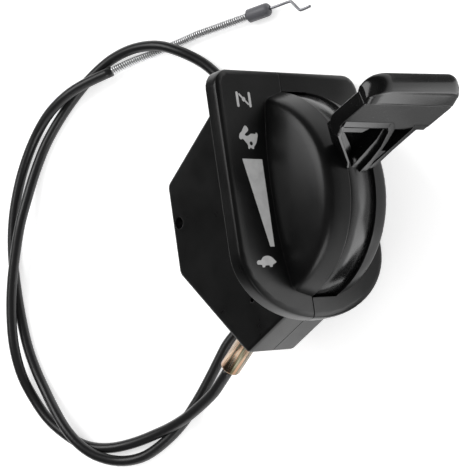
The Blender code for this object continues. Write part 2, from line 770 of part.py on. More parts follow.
def make_control_wire(steel, control):
    """Wire end inside the housing, with its hook pin through the drum's web."""
    start = cable_point(-WIRE_REST)
    across = Vector((1.0, 0.0, 0.0))
    bend = 0.0009
    points = [start - across * PIN_REACH, start - across * bend]
    points.append(start - across * bend * 0.3 + CABLE_DIRECTION * bend * 0.3)
    points.append(start + CABLE_DIRECTION * bend)
    points.append(cable_point(WIRE_INSIDE_TO))
    wire = body("control_wire", loft(sweep(points, [WIRE_RADIUS] * len(points), 10)))
    finish(wire, steel, control, origin=cable_point(0.0))


def make_sheath(plastic, layout, lay):
    start = lay @ cable_point(FERRULE_TO + CLEAR)
    lead = lay @ cable_point(FERRULE_TO + 0.0035)
    route = smooth_path([start, lead, *SHEATH_ROUTE, SHEATH_END], SHEATH_SPACING)
    curve = bpy.data.curves.new("cable_sheath", "CURVE")
    curve.dimensions = "3D"
    curve.bevel_depth = SHEATH_RADIUS
    curve.bevel_resolution = 2
    curve.use_fill_caps = True
    spline = curve.splines.new("POLY")
    spline.points.add(len(route) - 1)
    for knot, point in zip(spline.points, route):
        knot.co = (*point, 1.0)
    spline.use_smooth = True
    curve.materials.append(plastic)
    sheath = bpy.data.objects.new("cable_sheath", curve)
    bpy.context.scene.collection.objects.link(sheath)
    sheath.parent = layout


def cap_axes():
    along = Vector((math.cos(CAP_HEADING), math.sin(CAP_HEADING), 0.0))
    side = Vector((-along.y, along.x, 0.0))
    return along, side


def make_conduit(steel, layout):
    """Close-wound steel conduit: a bored tube with a ridge for each turn."""
    along, _ = cap_axes()
    end = CAP_TIP - along * (CAP_LENGTH - CAP_POCKET + CLEAR)
    straight = [CAP_TIP - along * reach for reach in (0.0390, 0.0280, 0.0180, 0.0100)]
    heading = (Vector(CONDUIT_ROUTE[0]) - Vector(SHEATH_END)).normalized()
    start = Vector(SHEATH_END) + heading * CLEAR
    path = smooth_path([start, *CONDUIT_ROUTE, *straight, end], CONDUIT_PITCH / 2)
    ridge = [CONDUIT_RADIUS if i % 2 else CONDUIT_GROOVE for i in range(len(path))]
    outer = sweep(path, ridge, 12)
    inner = sweep(path, [WIRE_BORE] * len(path), 12)
    sparse = [loop for i, loop in enumerate(inner) if i % 6 == 0]
    if sparse[-1] is not inner[-1]:
        sparse.append(inner[-1])
    conduit = body("cable_conduit", loft(outer + list(reversed(sparse)), ring=True))
    finish(conduit, steel, layout, smooth_angle=50)


def lay_along_cap():
    along, side = cap_axes()
    turn = Matrix((along, side, Vector((0.0, 0.0, 1.0)))).transposed().to_4x4()
    return Matrix.Translation(CAP_TIP) @ turn


def make_cap(plastic, layout):
    mouth = CONDUIT_RADIUS + CLEAR
    hole = WIRE_BORE + 0.0001
    profile = (
        (-CAP_LENGTH, mouth),
        (-CAP_LENGTH, CAP_RADIUS - 0.0003),
        (-CAP_LENGTH + 0.0004, CAP_RADIUS),
        (-0.0016, CAP_RADIUS),
        (-0.0007, CAP_RADIUS - 0.0005),
        (-0.0002, CAP_RADIUS - 0.0012),
        (0.0, CAP_RADIUS - 0.0019),
        (0.0, hole),
        (-CAP_LENGTH + CAP_POCKET, hole),
        (-CAP_LENGTH + CAP_POCKET, mouth),
    )
    finish(body("conduit_cap", turned(profile, 24, ring=True), lay_along_cap()), plastic, layout)


def make_wire_end(steel, layout):
    points = [(-WIRE_HIDDEN, 0.0, 0.0)]
    points += [(x, y, 0.0) for x, y in ENGINE_HOOK]
    wire = body("wire_end", loft(sweep(points, [WIRE_RADIUS] * len(points), 10)), lay_along_cap())
    finish(wire, steel, layout, origin=CAP_TIP)


# Assembly
def lay_down():
    """Tilt and height at which the housing rests on its bezel's and its body's right edges."""
    body_back = BODY_DEPTH - EDGE_ROUND
    tilt = math.atan2(BEZEL_RIGHT - BODY_HALF, body_back - RIM_DEPTH)
    height = math.cos(tilt) * BEZEL_RIGHT + math.sin(tilt) * RIM_DEPTH
    return tilt, height


def centre_on_floor(layout, left_out):
    """Move everything so that the origin is under the middle of the control itself."""
    bpy.context.view_layer.update()
    low = Vector((math.inf,) * 3)
    high = Vector((-math.inf,) * 3)
    for item in bpy.data.objects:
        if item.type != "MESH" or item.name in left_out:
            continue
        for vertex in item.data.vertices:
            point = item.matrix_world @ vertex.co
            low = Vector(map(min, low, point))
            high = Vector(map(max, high, point))
    layout.location = (-(low.x + high.x) / 2, -(low.y + high.y) / 2, -low.z)
    bpy.context.view_layer.update()


def build():
    clear_scene()
    shell_black = material("shell_black", (0.020, 0.020, 0.021), 0.42)
    lever_black = material("lever_black", (0.024, 0.024, 0.025), 0.33)
    sheath_black = material("sheath_black", (0.014, 0.014, 0.015), 0.36)
    cap_grey = material("cap_grey", (0.22, 0.23, 0.24), 0.45)
    washer_white = material("washer_white", (0.72, 0.70, 0.64), 0.50)
    zinc_yellow = material("zinc_yellow", (0.52, 0.44, 0.30), 0.28, 1.0)
    bright_steel = material("bright_steel", (0.60, 0.60, 0.61), 0.28, 1.0)
    spring_steel = material("spring_steel", (0.34, 0.34, 0.36), 0.34, 1.0)

    layout = bpy.data.objects.new("layout", None)
    control = bpy.data.objects.new("control", None)
    for empty in (layout, control):
        bpy.context.scene.collection.objects.link(empty)
    control.parent = layout
    tilt, height = lay_down()
    control.location = (0.0, 0.0, height)
    control.rotation_euler = (0.0, math.pi / 2 - tilt, 0.0)
    lay = Matrix.Translation((0.0, 0.0, height)) @ Matrix.Rotation(math.pi / 2 - tilt, 4, "Y")

    housing = make_housing()
    drill_housing(housing)
    for shell in split_housing(housing):
        finish(shell, shell_black, control)
    finish(make_lever(), lever_black, control, origin=PIVOT)
    make_pivot(bright_steel, control)
    make_side_washers(washer_white, spring_steel, control)
    make_screws(bright_steel, control)
    make_ferrule(zinc_yellow, control)
    make_control_wire(spring_steel, control)
    make_sheath(sheath_black, layout, lay)
    make_conduit(bright_steel, layout)
    make_cap(cap_grey, layout)
    make_wire_end(spring_steel, layout)
    centre_on_floor(layout, ("cable_conduit", "conduit_cap", "wire_end"))


build()
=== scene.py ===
# %% [markdown]
# # A lever throttle control and its cable
#
# This scene dresses a throttle control for a mower or other small machine. Two black mouldings
# are screwed together round a lever. The lever's drum pulls a wire that slides through a black
# sheath and a wound steel conduit, and leaves a grey cap as a bent hook.
#
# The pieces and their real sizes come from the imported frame. The scene adds what the eye needs:
# finer cords and metal parts, moulded-in detail, finishes, light and a camera.

# %% Load the frame
import math

import bmesh
import bpy
from mathutils import Matrix, Vector


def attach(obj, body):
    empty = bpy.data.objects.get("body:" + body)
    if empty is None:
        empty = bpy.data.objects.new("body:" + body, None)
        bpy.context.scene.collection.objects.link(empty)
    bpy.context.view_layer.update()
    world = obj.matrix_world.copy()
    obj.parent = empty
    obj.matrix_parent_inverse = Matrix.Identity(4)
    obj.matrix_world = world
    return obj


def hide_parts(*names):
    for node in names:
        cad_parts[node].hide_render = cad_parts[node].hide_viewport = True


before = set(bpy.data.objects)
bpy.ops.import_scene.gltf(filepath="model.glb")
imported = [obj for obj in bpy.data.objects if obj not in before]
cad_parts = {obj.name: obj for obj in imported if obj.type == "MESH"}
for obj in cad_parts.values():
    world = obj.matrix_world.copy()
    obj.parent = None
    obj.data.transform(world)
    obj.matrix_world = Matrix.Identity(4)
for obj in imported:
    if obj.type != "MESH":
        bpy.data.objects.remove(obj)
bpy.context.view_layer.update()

# %% [markdown]
# The control lies on its right side on the floor, tipped by the bezel's rim. Detail on the
# housing is easier to place in the housing's own axes: x across it, y along the bezel towards
# the choke mark, and z straight out of the bezel's face. One matrix turns those into the room's.

# %% Housing axes
TIP = 0.36678075
HOUSING_PLACE = (-0.0002141, 0.0070224, 0.0399431)
HOUSING = Matrix.Translation(HOUSING_PLACE) @ Matrix.Rotation(math.pi / 2 - TIP, 4, "Y")
CABLE_SHIFT = Vector((-0.0002141, 0.0070224, 0.0))
MM = 0.001
print("the bezel faces", [round(v, 3) for v in HOUSING.to_3x3() @ Vector((0, 0, 1))])

# %% [markdown]
# The camera comes first, so that every later step is seen from the right place. It looks down
# on the floor from the front and a little to the left, through a long lens, as a catalogue
# picture of a small part does. A long lens keeps the loops of cable in proportion.

# %% Camera
LENS = 142.334
CAMERA_PLACE = (0.33093, -0.11324, 0.75504)
LOOK = Matrix(((0.870399, 0.188663, 0.454766), (-0.142149, 0.98063, -0.134754), (-0.471381, 0.052645, 0.880357)))
camera = bpy.data.objects.new("camera", bpy.data.cameras.new("camera"))
camera.data.lens = LENS
camera.data.sensor_width = 36.0
camera.data.clip_start = 0.01
camera.data.clip_end = 30.0
bpy.context.scene.collection.objects.link(camera)
camera.matrix_world = Matrix.Translation(CAMERA_PLACE) @ LOOK.to_4x4()
bpy.context.scene.camera = camera
print("camera at", [round(v, 3) for v in camera.location])

# %% [markdown]
# Small makers for meshes. A turned piece is a profile spun round an axis. A swept piece carries
# a circle along a line. Both write the distance round and the distance along into a UV map, so
# that a finish can follow the piece, as the lines on a drawn wire do.

# %% Mesh makers
def new_piece(name, verts, faces, uvs=None, smooth=True):
    mesh = bpy.data.meshes.new(name)
    mesh.from_pydata([tuple(v) for v in verts], [], faces)
    if uvs is not None:
        layer = mesh.uv_layers.new(name="along")
        for loop in mesh.loops:
            layer.data[loop.index].uv = uvs[loop.index]
    mesh.update()
    bm = bmesh.new()
    bm.from_mesh(mesh)
    bmesh.ops.recalc_face_normals(bm, faces=bm.faces)
    bm.to_mesh(mesh)
    bm.free()
    for face in mesh.polygons:
        face.use_smooth = smooth
    made = bpy.data.objects.new(name, mesh)
    bpy.context.scene.collection.objects.link(made)
    return made


def skin(name, loops, distances, around, ring=False):
    """Joins loops of points and closes both ends, or makes a ring. UV is round and along, in metres."""
    count = len(loops[0])
    verts = [p for loop in loops for p in loop]
    faces = []
    uvs = []
    rows = len(loops)
    for i in range(rows if ring else rows - 1):
        k = (i + 1) % rows
        for j in range(count):
            n = (j + 1) % count
            faces.append((i * count + j, i * count + n, k * count + n, k * count + j))
            u0, u1 = around * j / count, around * (j + 1) / count
            v0 = distances[i]
            v1 = distances[k] if k else distances[i] + 0.001
            uvs += [(u0, v0), (u1, v0), (u1, v1), (u0, v1)]
    if not ring:
        for row in (0, rows - 1):
            faces.append([row * count + j for j in range(count)])
            uvs += [(around * j / count, distances[row]) for j in range(count)]
    return new_piece(name, verts, faces, uvs)


CURVE_STEPS = 12


def even_path(points, spacing):
    """Even points along a smooth curve through the given ones."""
    path = [Vector(p) for p in points]
    ends = [path[0] * 2 - path[1]] + path + [path[-1] * 2 - path[-2]]
    fine = []
    for i in range(1, len(ends) - 2):
        a, b, c, d = ends[i - 1:i + 3]
        for k in range(CURVE_STEPS):
            t = k / CURVE_STEPS
            bend = 2 * b + (c - a) * t + (2 * a - 5 * b + 4 * c - d) * t * t
            fine.append((bend + (3 * b - a - 3 * c + d) * t ** 3) * 0.5)
    fine.append(path[-1])
    travelled = [0.0]
    for first, second in zip(fine, fine[1:]):
        travelled.append(travelled[-1] + (second - first).length)
    count = max(2, round(travelled[-1] / spacing))
    even = []
    k = 0
    for i in range(count + 1):
        goal = travelled[-1] * i / count
        while k < len(fine) - 2 and travelled[k + 1] < goal:
            k += 1
        share = (goal - travelled[k]) / (travelled[k + 1] - travelled[k])
        even.append(fine[k].lerp(fine[k + 1], share))
    return even


def carried_frames(path):
    """A point, its direction and two sideways directions that don't twist, all along a path."""
    frames = []
    side = None
    for i, point in enumerate(path):
        ahead = (path[min(i + 1, len(path) - 1)] - path[max(i - 1, 0)]).normalized()
        side = ahead.orthogonal() if side is None else side - ahead * side.dot(ahead)
        side.normalize()
        frames.append((point, ahead, side.copy(), ahead.cross(side)))
    return frames


def swept(name, path, radius, steps):
    """A round piece along a path."""
    loops = []
    distances = [0.0]
    turns = [2 * math.pi * i / steps for i in range(steps)]
    for point, _, side, other in carried_frames(path):
        loops.append([point + (side * math.cos(a) + other * math.sin(a)) * radius for a in turns])
    for a, b in zip(path, path[1:]):
        distances.append(distances[-1] + (b - a).length)
    return skin(name, loops, distances, 2 * math.pi * radius)


def turned(name, profile, steps, place, ring=True):
    """A profile of (along, radius) spun round x, then put in its place."""
    turns = [2 * math.pi * i / steps for i in range(steps)]
    loops = [[place @ Vector((x, r * math.cos(a), r * math.sin(a))) for a in turns] for x, r in profile]
    distances = [0.0]
    for (x0, r0), (x1, r1) in zip(profile, profile[1:]):
        distances.append(distances[-1] + math.hypot(x1 - x0, r1 - r0))
    return skin(name, loops, distances, 2 * math.pi * max(r for _, r in profile), ring=ring)


print("makers ready")

# %% [markdown]
# ## Sheath
# The sheath is an extruded plastic tube over a wound liner. It is stiff, so its loops are wide
# and smooth, and it lies in long low humps where one turn crosses another. The route is
# given as points in millimetres, and a smooth curve runs through them.

# %% Sheath
SHEATH_RADIUS = 0.0025
FERRULE_MOUTH = Vector((-0.06349, -0.059169, 0.015635))
FERRULE_LEAD = Vector((-0.065946, -0.06099, 0.014691))
SHEATH_END = (-0.1092, 0.0845, 0.0053)
SHEATH_ROUTE = (
    (-69.0, -70.5, 13.5), (-76.3, -76.0, 11.5), (-90.2, -82.8, 8.2), (-101.2, -86.6, 5.6),
    (-111.2, -88.9, 3.7), (-125.7, -91.5, 2.6), (-139.1, -92.2, 2.6), (-150.9, -90.0, 2.6),
    (-161.0, -84.4, 2.6), (-171.9, -74.2, 2.6), (-178.7, -62.5, 3.3), (-182.3, -50.6, 5.6),
    (-183.2, -36.5, 7.7), (-182.4, -21.5, 7.9), (-179.8, -6.7, 7.9), (-175.5, 7.9, 7.9),
    (-170.8, 21.4, 7.6), (-166.2, 33.5, 5.6), (-160.8, 46.5, 3.2), (-152.6, 59.0, 2.6),
    (-141.7, 70.3, 2.6), (-130.5, 79.5, 2.6), (-120.0, 86.2, 2.7), (-108.3, 90.8, 3.6),
    (-94.9, 92.2, 5.6), (-81.6, 90.1, 7.2), (-71.2, 85.2, 6.6), (-61.2, 77.8, 4.1), (-54.5, 70.0, 2.7),
    (-46.0, 58.0, 2.6), (-37.5, 43.0, 2.6), (-30.5, 24.0, 2.6), (-28.5, 4.0, 2.6), (-32.0, -15.0, 2.6),
    (-40.5, -32.0, 2.6), (-51.0, -42.0, 2.6), (-61.0, -47.5, 2.6), (-69.0, -53.5, 2.6),
    (-74.2, -59.5, 2.6), (-80.0, -66.7, 2.6), (-88.6, -76.6, 2.6), (-98.6, -86.2, 2.6),
    (-109.5, -93.5, 2.6), (-122.1, -98.7, 2.7), (-134.5, -99.0, 3.7), (-145.2, -95.1, 6.0),
    (-153.0, -88.7, 7.7), (-159.6, -80.1, 7.9), (-165.6, -70.2, 6.2), (-171.3, -60.0, 3.6),
    (-175.7, -49.6, 2.6), (-178.8, -37.4, 2.6), (-180.4, -23.8, 2.6), (-181.1, -8.8, 2.6),
    (-180.8, 6.0, 2.6), (-178.8, 20.7, 2.6), (-174.9, 34.0, 2.6), (-168.4, 48.3, 2.7),
    (-159.0, 61.5, 3.7), (-147.5, 71.3, 6.2), (-135.2, 77.6, 7.9), (-124.0, 81.3, 7.4),
)
laid = [Vector(p) * MM + CABLE_SHIFT for p in SHEATH_ROUTE] + [Vector(SHEATH_END) + CABLE_SHIFT]
sheath_path = even_path([FERRULE_MOUTH, FERRULE_LEAD, *laid], 0.0030)
sheath = swept("sheath", sheath_path, SHEATH_RADIUS, 24)
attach(sheath, "housing")
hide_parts("cable_sheath")
laid_length = sum((b - a).length for a, b in zip(sheath_path, sheath_path[1:]))
print("sheath length", round(laid_length, 4), "m in", len(sheath_path), "rings")

# %% [markdown]
# ## Conduit
# Near the engine the sheath gives way to bare conduit: slightly flattened steel wire, wound in a
# close spiral. A ridged tube would do from far off. Winding a real wire round the same line gives
# the fine thread of highlights that such a conduit has, so that is what this cell does.

# %% Conduit
CONDUIT_RADIUS = 0.00205
COIL_WIRE = 0.00054
COIL_PITCH = 0.00112
COIL_FLATNESS = 0.8
COIL_STEPS = 18
COIL_SIDES = 8
CAP_TIP = Vector((-0.022714, 0.100972, 0.0033))
CAP_LENGTH = 0.0115
CAP_POCKET = 0.0083
HEADING = math.radians(4)
cap_along = Vector((math.cos(HEADING), math.sin(HEADING), 0.0))
cap_side = Vector((-cap_along.y, cap_along.x, 0.0))
CONDUIT_ROUTE = (
    (-0.1040, 0.0857, 0.0043), (-0.0972, 0.0872, 0.0030), (-0.0856, 0.0886, 0.0021),
    (-0.0720, 0.0901, 0.0023),
)


def coil_loops(path, pitch, winding_radius, wire_radius, per_turn, steps):
    frames = carried_frames(path)
    reach = [0.0]
    for a, b in zip(path, path[1:]):
        reach.append(reach[-1] + (b - a).length)
    total = reach[-1] - 2 * wire_radius
    count = int(total / pitch * per_turn)
    centres = []
    k = 0
    for i in range(count + 1):
        goal = wire_radius + total * i / count
        while k < len(reach) - 2 and reach[k + 1] < goal:
            k += 1
        t = (goal - reach[k]) / (reach[k + 1] - reach[k])
        point = frames[k][0].lerp(frames[k + 1][0], t)
        side = frames[k][2].lerp(frames[k + 1][2], t).normalized()
        other = frames[k][3].lerp(frames[k + 1][3], t).normalized()
        turn = 2 * math.pi * i / per_turn
        out = side * math.cos(turn) + other * math.sin(turn)
        centres.append((point + out * winding_radius, out))
    loops = []
    for i, (centre, out) in enumerate(centres):
        ahead = (centres[min(i + 1, count)][0] - centres[max(i - 1, 0)][0]).normalized()
        flat = ahead.cross(out).normalized()
        turns = [2 * math.pi * j / steps for j in range(steps)]
        loops.append([centre + (out * math.cos(a) * COIL_FLATNESS + flat * math.sin(a)) * wire_radius
                      for a in turns])
    return loops


heading = (Vector(CONDUIT_ROUTE[0]) - Vector(SHEATH_END)).normalized()
conduit_line = [Vector(SHEATH_END) + CABLE_SHIFT + heading * 0.0003]
conduit_line += [Vector(p) + CABLE_SHIFT for p in CONDUIT_ROUTE]
conduit_line += [CAP_TIP - cap_along * reach for reach in (0.0390, 0.0280, 0.0180, 0.0100)]
conduit_line.append(CAP_TIP - cap_along * (CAP_LENGTH - CAP_POCKET + 0.0003))
conduit_path = even_path(conduit_line, 0.0010)
winding = CONDUIT_RADIUS - COIL_FLATNESS * COIL_WIRE
wire_loops = coil_loops(conduit_path, COIL_PITCH, winding, COIL_WIRE, COIL_STEPS, COIL_SIDES)
wire_reach = [0.0]
for a, b in zip(wire_loops, wire_loops[1:]):
    wire_reach.append(wire_reach[-1] + (b[0] - a[0]).length)
conduit = skin("conduit", wire_loops, wire_reach, 2 * math.pi * COIL_WIRE)
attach(conduit, "housing")
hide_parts("cable_conduit")
print("conduit turns", len(wire_loops) // COIL_STEPS, "faces", len(conduit.data.polygons))

# %% [markdown]
# ## End cap and hook
# A small moulded cap is pressed on the end of the conduit and guides the wire out. The wire's
# end is bent twice into a Z, which drops through a hole in the engine's governor arm. The cap
# is turned from its profile. The hook is a round wire bent along its own line.

# %% End cap and hook
CAP_RADIUS = 0.0032
WIRE_RADIUS = 0.00065
WIRE_BORE = 0.00105
cap_place = Matrix.Translation(CAP_TIP) @ Matrix((cap_along, cap_side, (0, 0, 1))).transposed().to_4x4()
mouth = CONDUIT_RADIUS + 0.0002
cap_profile = [(-CAP_LENGTH, mouth), (-CAP_LENGTH, CAP_RADIUS - 0.0003),
               (-CAP_LENGTH + 0.0001, CAP_RADIUS - 0.0001), (-CAP_LENGTH + 0.0003, CAP_RADIUS), (-0.0024, CAP_RADIUS)]
for i in range(1, 8):
    a = math.pi / 2 * i / 8
    cap_profile.append((-0.0020 * (1 - math.sin(a)), CAP_RADIUS - 0.0019 * (1 - math.cos(a))))
cap_profile += [(0.0, WIRE_BORE), (-0.0030, WIRE_BORE), (-0.0030, mouth)]
cap = turned("conduit_cap_moulding", cap_profile, 48, cap_place)
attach(cap, "housing")
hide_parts("conduit_cap")

HOOK_BENDS = ((-0.0262, 0.0), (-0.010, 0.0), (0.004, 0.0), (0.0101, 0.0), (0.0114, -0.0008),
              (0.0139, -0.0049), (0.0152, -0.0056), (0.0199, -0.0053))
hook_line = [cap_place @ Vector((x, y, 0.0)) for x, y in HOOK_BENDS]
hook_path = even_path(hook_line, 0.0006)
hook = swept("engine_hook", hook_path, WIRE_RADIUS, 16)
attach(hook, "engine_wire")
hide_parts("wire_end")
print("cap and hook made")

# %% [markdown]
# ## Ferrule
# A turned steel ferrule holds the sheath's end in the housing. Its flange sits in a slot between
# the two shells, and only its shank shows. It is turned as one closed ring, bored for the wire.

# %% Ferrule
CABLE_ANGLE = math.radians(34.7)
CABLE_OFFSET = 0.0238
PIVOT_Z = -0.014
FERRULE_FROM = 0.0450
FERRULE_TO = 0.0816
FERRULE_RADIUS = 0.00475
FLANGE_RADIUS = 0.0064
wire_way = Vector((0.0, -math.sin(CABLE_ANGLE), -math.cos(CABLE_ANGLE)))
wire_foot = Vector((0.0, -math.cos(CABLE_ANGLE), math.sin(CABLE_ANGLE))) * CABLE_OFFSET
wire_start = Vector((0.0, 0.0, PIVOT_Z)) + wire_foot
wire_turn = Vector((1, 0, 0)).rotation_difference(wire_way).to_matrix().to_4x4()
wire_place = HOUSING @ Matrix.Translation(wire_start) @ wire_turn
ferrule_profile = [
    (FERRULE_FROM, 0.0012), (FERRULE_FROM, FERRULE_RADIUS), (0.0490, FERRULE_RADIUS),
    (0.0490, FLANGE_RADIUS), (0.0515, FLANGE_RADIUS), (0.0515, FERRULE_RADIUS),
    (FERRULE_TO - 0.0010, FERRULE_RADIUS), (FERRULE_TO - 0.0006, FERRULE_RADIUS - 0.0001),
    (FERRULE_TO - 0.0003, FERRULE_RADIUS - 0.0003), (FERRULE_TO - 0.0001, FERRULE_RADIUS - 0.0006),
    (FERRULE_TO, FERRULE_RADIUS - 0.0010), (FERRULE_TO, 0.0030),
    (FERRULE_TO - 0.0006, 0.0027), (FERRULE_TO - 0.0006, 0.0012),
]
ferrule = turned("ferrule", ferrule_profile, 64, wire_place)
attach(ferrule, "housing")
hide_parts("cable_ferrule")
print("ferrule faces", len(ferrule.data.polygons))

# %% [markdown]
# ## Node helpers
# Nodes are added by one short function, which sets numbers and joins sockets. The others each
# stand for a node or two that many finishes need. Effects that several finishes share are kept
# in node groups with named inputs and outputs.

# %% Node helpers
def fit(tree, node, inputs):
    """Sets inputs of a node, by name or number, or joins them to sockets."""
    for name, value in inputs.items():
        if isinstance(value, bpy.types.NodeSocket):
            tree.links.new(value, node.inputs[name])
        else:
            node.inputs[name].default_value = value


def add(tree, kind, inputs, **settings):
    made = tree.nodes.new(kind)
    for name, value in settings.items():
        setattr(made, name, value)
    fit(tree, made, inputs)
    return made


def new_group(name, inputs, outputs, kind="ShaderNodeTree"):
    """A node group from names with a kind of socket and a value, and names with a kind of socket."""
    tree = bpy.data.node_groups.new(name, kind)
    for socket, (form, value) in inputs.items():
        made = tree.interface.new_socket(name=socket, in_out="INPUT", socket_type=form)
        if value is not None:
            made.default_value = value
    for socket, form in outputs.items():
        tree.interface.new_socket(name=socket, in_out="OUTPUT", socket_type=form)
    return tree, tree.nodes.new("NodeGroupInput").outputs, tree.nodes.new("NodeGroupOutput")


def use(tree, group, inputs):
    made = tree.nodes.new("ShaderNodeGroup")
    made.node_tree = group
    fit(tree, made, inputs)
    return made.outputs


def worked(tree, operation, *values):
    return add(tree, "ShaderNodeMath", dict(enumerate(values)), operation=operation).outputs["Value"]


def spread(tree, value, low, high):
    """Turns a value from 0 to 1 into one from low to high."""
    return add(tree, "ShaderNodeMapRange", {"Value": value, "To Min": low, "To Max": high}).outputs["Result"]


def masked(tree, value, start, stop, low=0.0, high=1.0):
    """Low up to the start and high from the stop on, with a slope between."""
    return add(tree, "ShaderNodeMapRange", {"Value": value, "From Min": start, "From Max": stop,
                                            "To Min": low, "To Max": high}).outputs["Result"]


def mixed(tree, share, first, second):
    ends = [c if isinstance(c, bpy.types.NodeSocket) else (*c, 1.0) for c in (first, second)]
    return add(tree, "ShaderNodeMix", {0: share, 6: ends[0], 7: ends[1]}, data_type="RGBA").outputs[2]


def noise_of(tree, place, size, detail, roughness=0.5, distortion=0.0):
    return add(tree, "ShaderNodeTexNoise", {"Vector": place, "Scale": size, "Detail": detail,
                                            "Roughness": roughness, "Distortion": distortion}).outputs["Fac"]


def along_piece(tree, stretch=(1.0, 1.0, 1.0)):
    """The place on a swept or turned piece: round it and along it, in metres."""
    flat = add(tree, "ShaderNodeUVMap", {}, uv_map="along").outputs["UV"]
    return add(tree, "ShaderNodeMapping", {"Vector": flat, "Scale": stretch}).outputs["Vector"]


def bumped(tree, height, strength, depth, normal=None):
    inputs = {"Strength": strength, "Distance": depth, "Height": height}
    if normal is not None:
        inputs["Normal"] = normal
    return add(tree, "ShaderNodeBump", inputs).outputs["Normal"]


def finish_of(name, colour, roughness, metallic=0.0):
    coat = bpy.data.materials.new(name)
    coat.use_nodes = True
    shader = coat.node_tree.nodes["Principled BSDF"]
    fit(coat.node_tree, shader, {"Base Color": (*colour, 1.0), "Roughness": roughness, "Metallic": metallic,
                                 "IOR": 1.5})
    return coat, coat.node_tree, shader


print("helpers ready")

# %% [markdown]
# ## Soft shading for the CAD pieces
# The CAD pieces come in as flat triangles. Their shapes are right, so they stay, and a small
# geometry node modifier joins their corners and keeps an edge sharp only where it really turns.
# A weighted normal modifier then lets the large flat faces stay flat right up to their fillets.

# %% Soft shading for the CAD pieces
SHARP_FROM = math.radians(28)
JOIN_WITHIN = 0.000002
soft_shading, ins, outs = new_group("soft_shading", {"Geometry": ("NodeSocketGeometry", None)},
                                    {"Geometry": "NodeSocketGeometry"}, "GeometryNodeTree")
joined = add(soft_shading, "GeometryNodeMergeByDistance", {"Geometry": ins["Geometry"], "Distance": JOIN_WITHIN})
angle = add(soft_shading, "GeometryNodeInputMeshEdgeAngle", {})
keen = add(soft_shading, "FunctionNodeCompare", {"A": angle.outputs["Unsigned Angle"], "B": SHARP_FROM})
shaded = add(soft_shading, "GeometryNodeSetMeshNormal", {
    "Mesh": joined.outputs["Geometry"], "Remove Custom": True, "Edge Sharpness": keen.outputs["Result"],
}, mode="SHARPNESS")
fit(soft_shading, outs, {"Geometry": shaded.outputs["Mesh"]})


def shade_softly(piece):
    piece.modifiers.new("soft_shading", "NODES").node_group = soft_shading
    evened = piece.modifiers.new("evened_normals", "WEIGHTED_NORMAL")
    evened.keep_sharp = True
    evened.weight = 100


for name in ("left_shell", "right_shell", "pivot_bolt", "pivot_washer", "pivot_nut", "pivot_sleeve",
             "housing_screw_1", "housing_screw_2", "housing_screw_3", "friction_washer", "wave_washer"):
    shade_softly(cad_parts[name])
print("nodes shaded softly")

# %% [markdown]
# ## Lever: drum
# The lever is one moulding. Its drum and the curved cover that fills the slot come from the CAD
# solid, cut off at the cover's radius with a boolean, so that they stay exactly where they turn.
# What stands outside that radius is built again below with its ribs and rounded edges.

# %% Lever: drum
LEVER = HOUSING @ Matrix.Translation((0.0, 0.0, PIVOT_Z))
LEVER_ANGLE = math.radians(18)
COVER_RADIUS = 0.0459
BLADE = LEVER @ Matrix(((1, 0, 0), (0, math.sin(LEVER_ANGLE), math.cos(LEVER_ANGLE)),
                        (0, math.cos(LEVER_ANGLE), -math.sin(LEVER_ANGLE)))).to_4x4()


def cut(piece, tool, operation):
    """Applies one boolean and removes its tool."""
    step = piece.modifiers.new("cut", "BOOLEAN")
    step.operation = operation
    step.solver = "EXACT"
    step.object = tool
    bpy.context.view_layer.update()
    shaped = bpy.data.meshes.new_from_object(piece.evaluated_get(bpy.context.evaluated_depsgraph_get()))
    piece.modifiers.clear()
    piece.data = shaped
    bpy.data.objects.remove(tool, do_unlink=True)


drum_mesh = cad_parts["throttle_lever"].data.copy()
drum_mesh.name = "lever_drum"
bm = bmesh.new()
bm.from_mesh(drum_mesh)
bmesh.ops.remove_doubles(bm, verts=bm.verts, dist=JOIN_WITHIN)
bm.to_mesh(drum_mesh)
bm.free()
drum_mesh.materials.clear()
drum = bpy.data.objects.new("lever_drum", drum_mesh)
bpy.context.scene.collection.objects.link(drum)
HUB_HALF = 0.03
drum_edge = COVER_RADIUS - 0.0001
drum_reach = turned("drum_reach", [(-HUB_HALF, drum_edge), (HUB_HALF, drum_edge)], 180, LEVER, ring=False)
cut(drum, drum_reach, "INTERSECT")
shade_softly(drum)
print("drum faces", len(drum.data.polygons))

# %% [markdown]
# The cover's outside is what shows in the slot. A thin skin of fine steps lies on it, with its
# long edges rolled over and a faint mould line along it, so that it mirrors the room in one sweep.

# %% Lever: cover skin
COVER_FROM, COVER_TO = math.radians(-73.9), math.radians(74.9)
COVER_STEPS = 150
COVER_ACROSS = ((-0.0069, -0.0006), (-0.00685, -0.0002), (-0.0066, 0.0), (-0.0008, 0.00005),
                (-0.0004, 0.00005), (0.0, 0.0), (0.0066, 0.0), (0.00685, -0.0002), (0.0069, -0.0006))
cover_verts, cover_faces, cover_uvs = [], [], []
for i in range(COVER_STEPS + 1):
    a = COVER_FROM + (COVER_TO - COVER_FROM) * i / COVER_STEPS
    for x, lift in COVER_ACROSS:
        r = COVER_RADIUS + lift
        cover_verts.append(LEVER @ Vector((x, r * math.sin(a), r * math.cos(a))))
wide = len(COVER_ACROSS)
for i in range(COVER_STEPS):
    for j in range(wide - 1):
        ring = (i * wide + j, i * wide + j + 1, (i + 1) * wide + j + 1, (i + 1) * wide + j)
        cover_faces.append(ring)
        for v in ring:
            turn = (v // wide) / COVER_STEPS * (COVER_TO - COVER_FROM) * COVER_RADIUS
            cover_uvs.append((COVER_ACROSS[v % wide][0], turn))
cover = new_piece("lever_cover", cover_verts, cover_faces, cover_uvs)
print("cover faces", len(cover_faces))

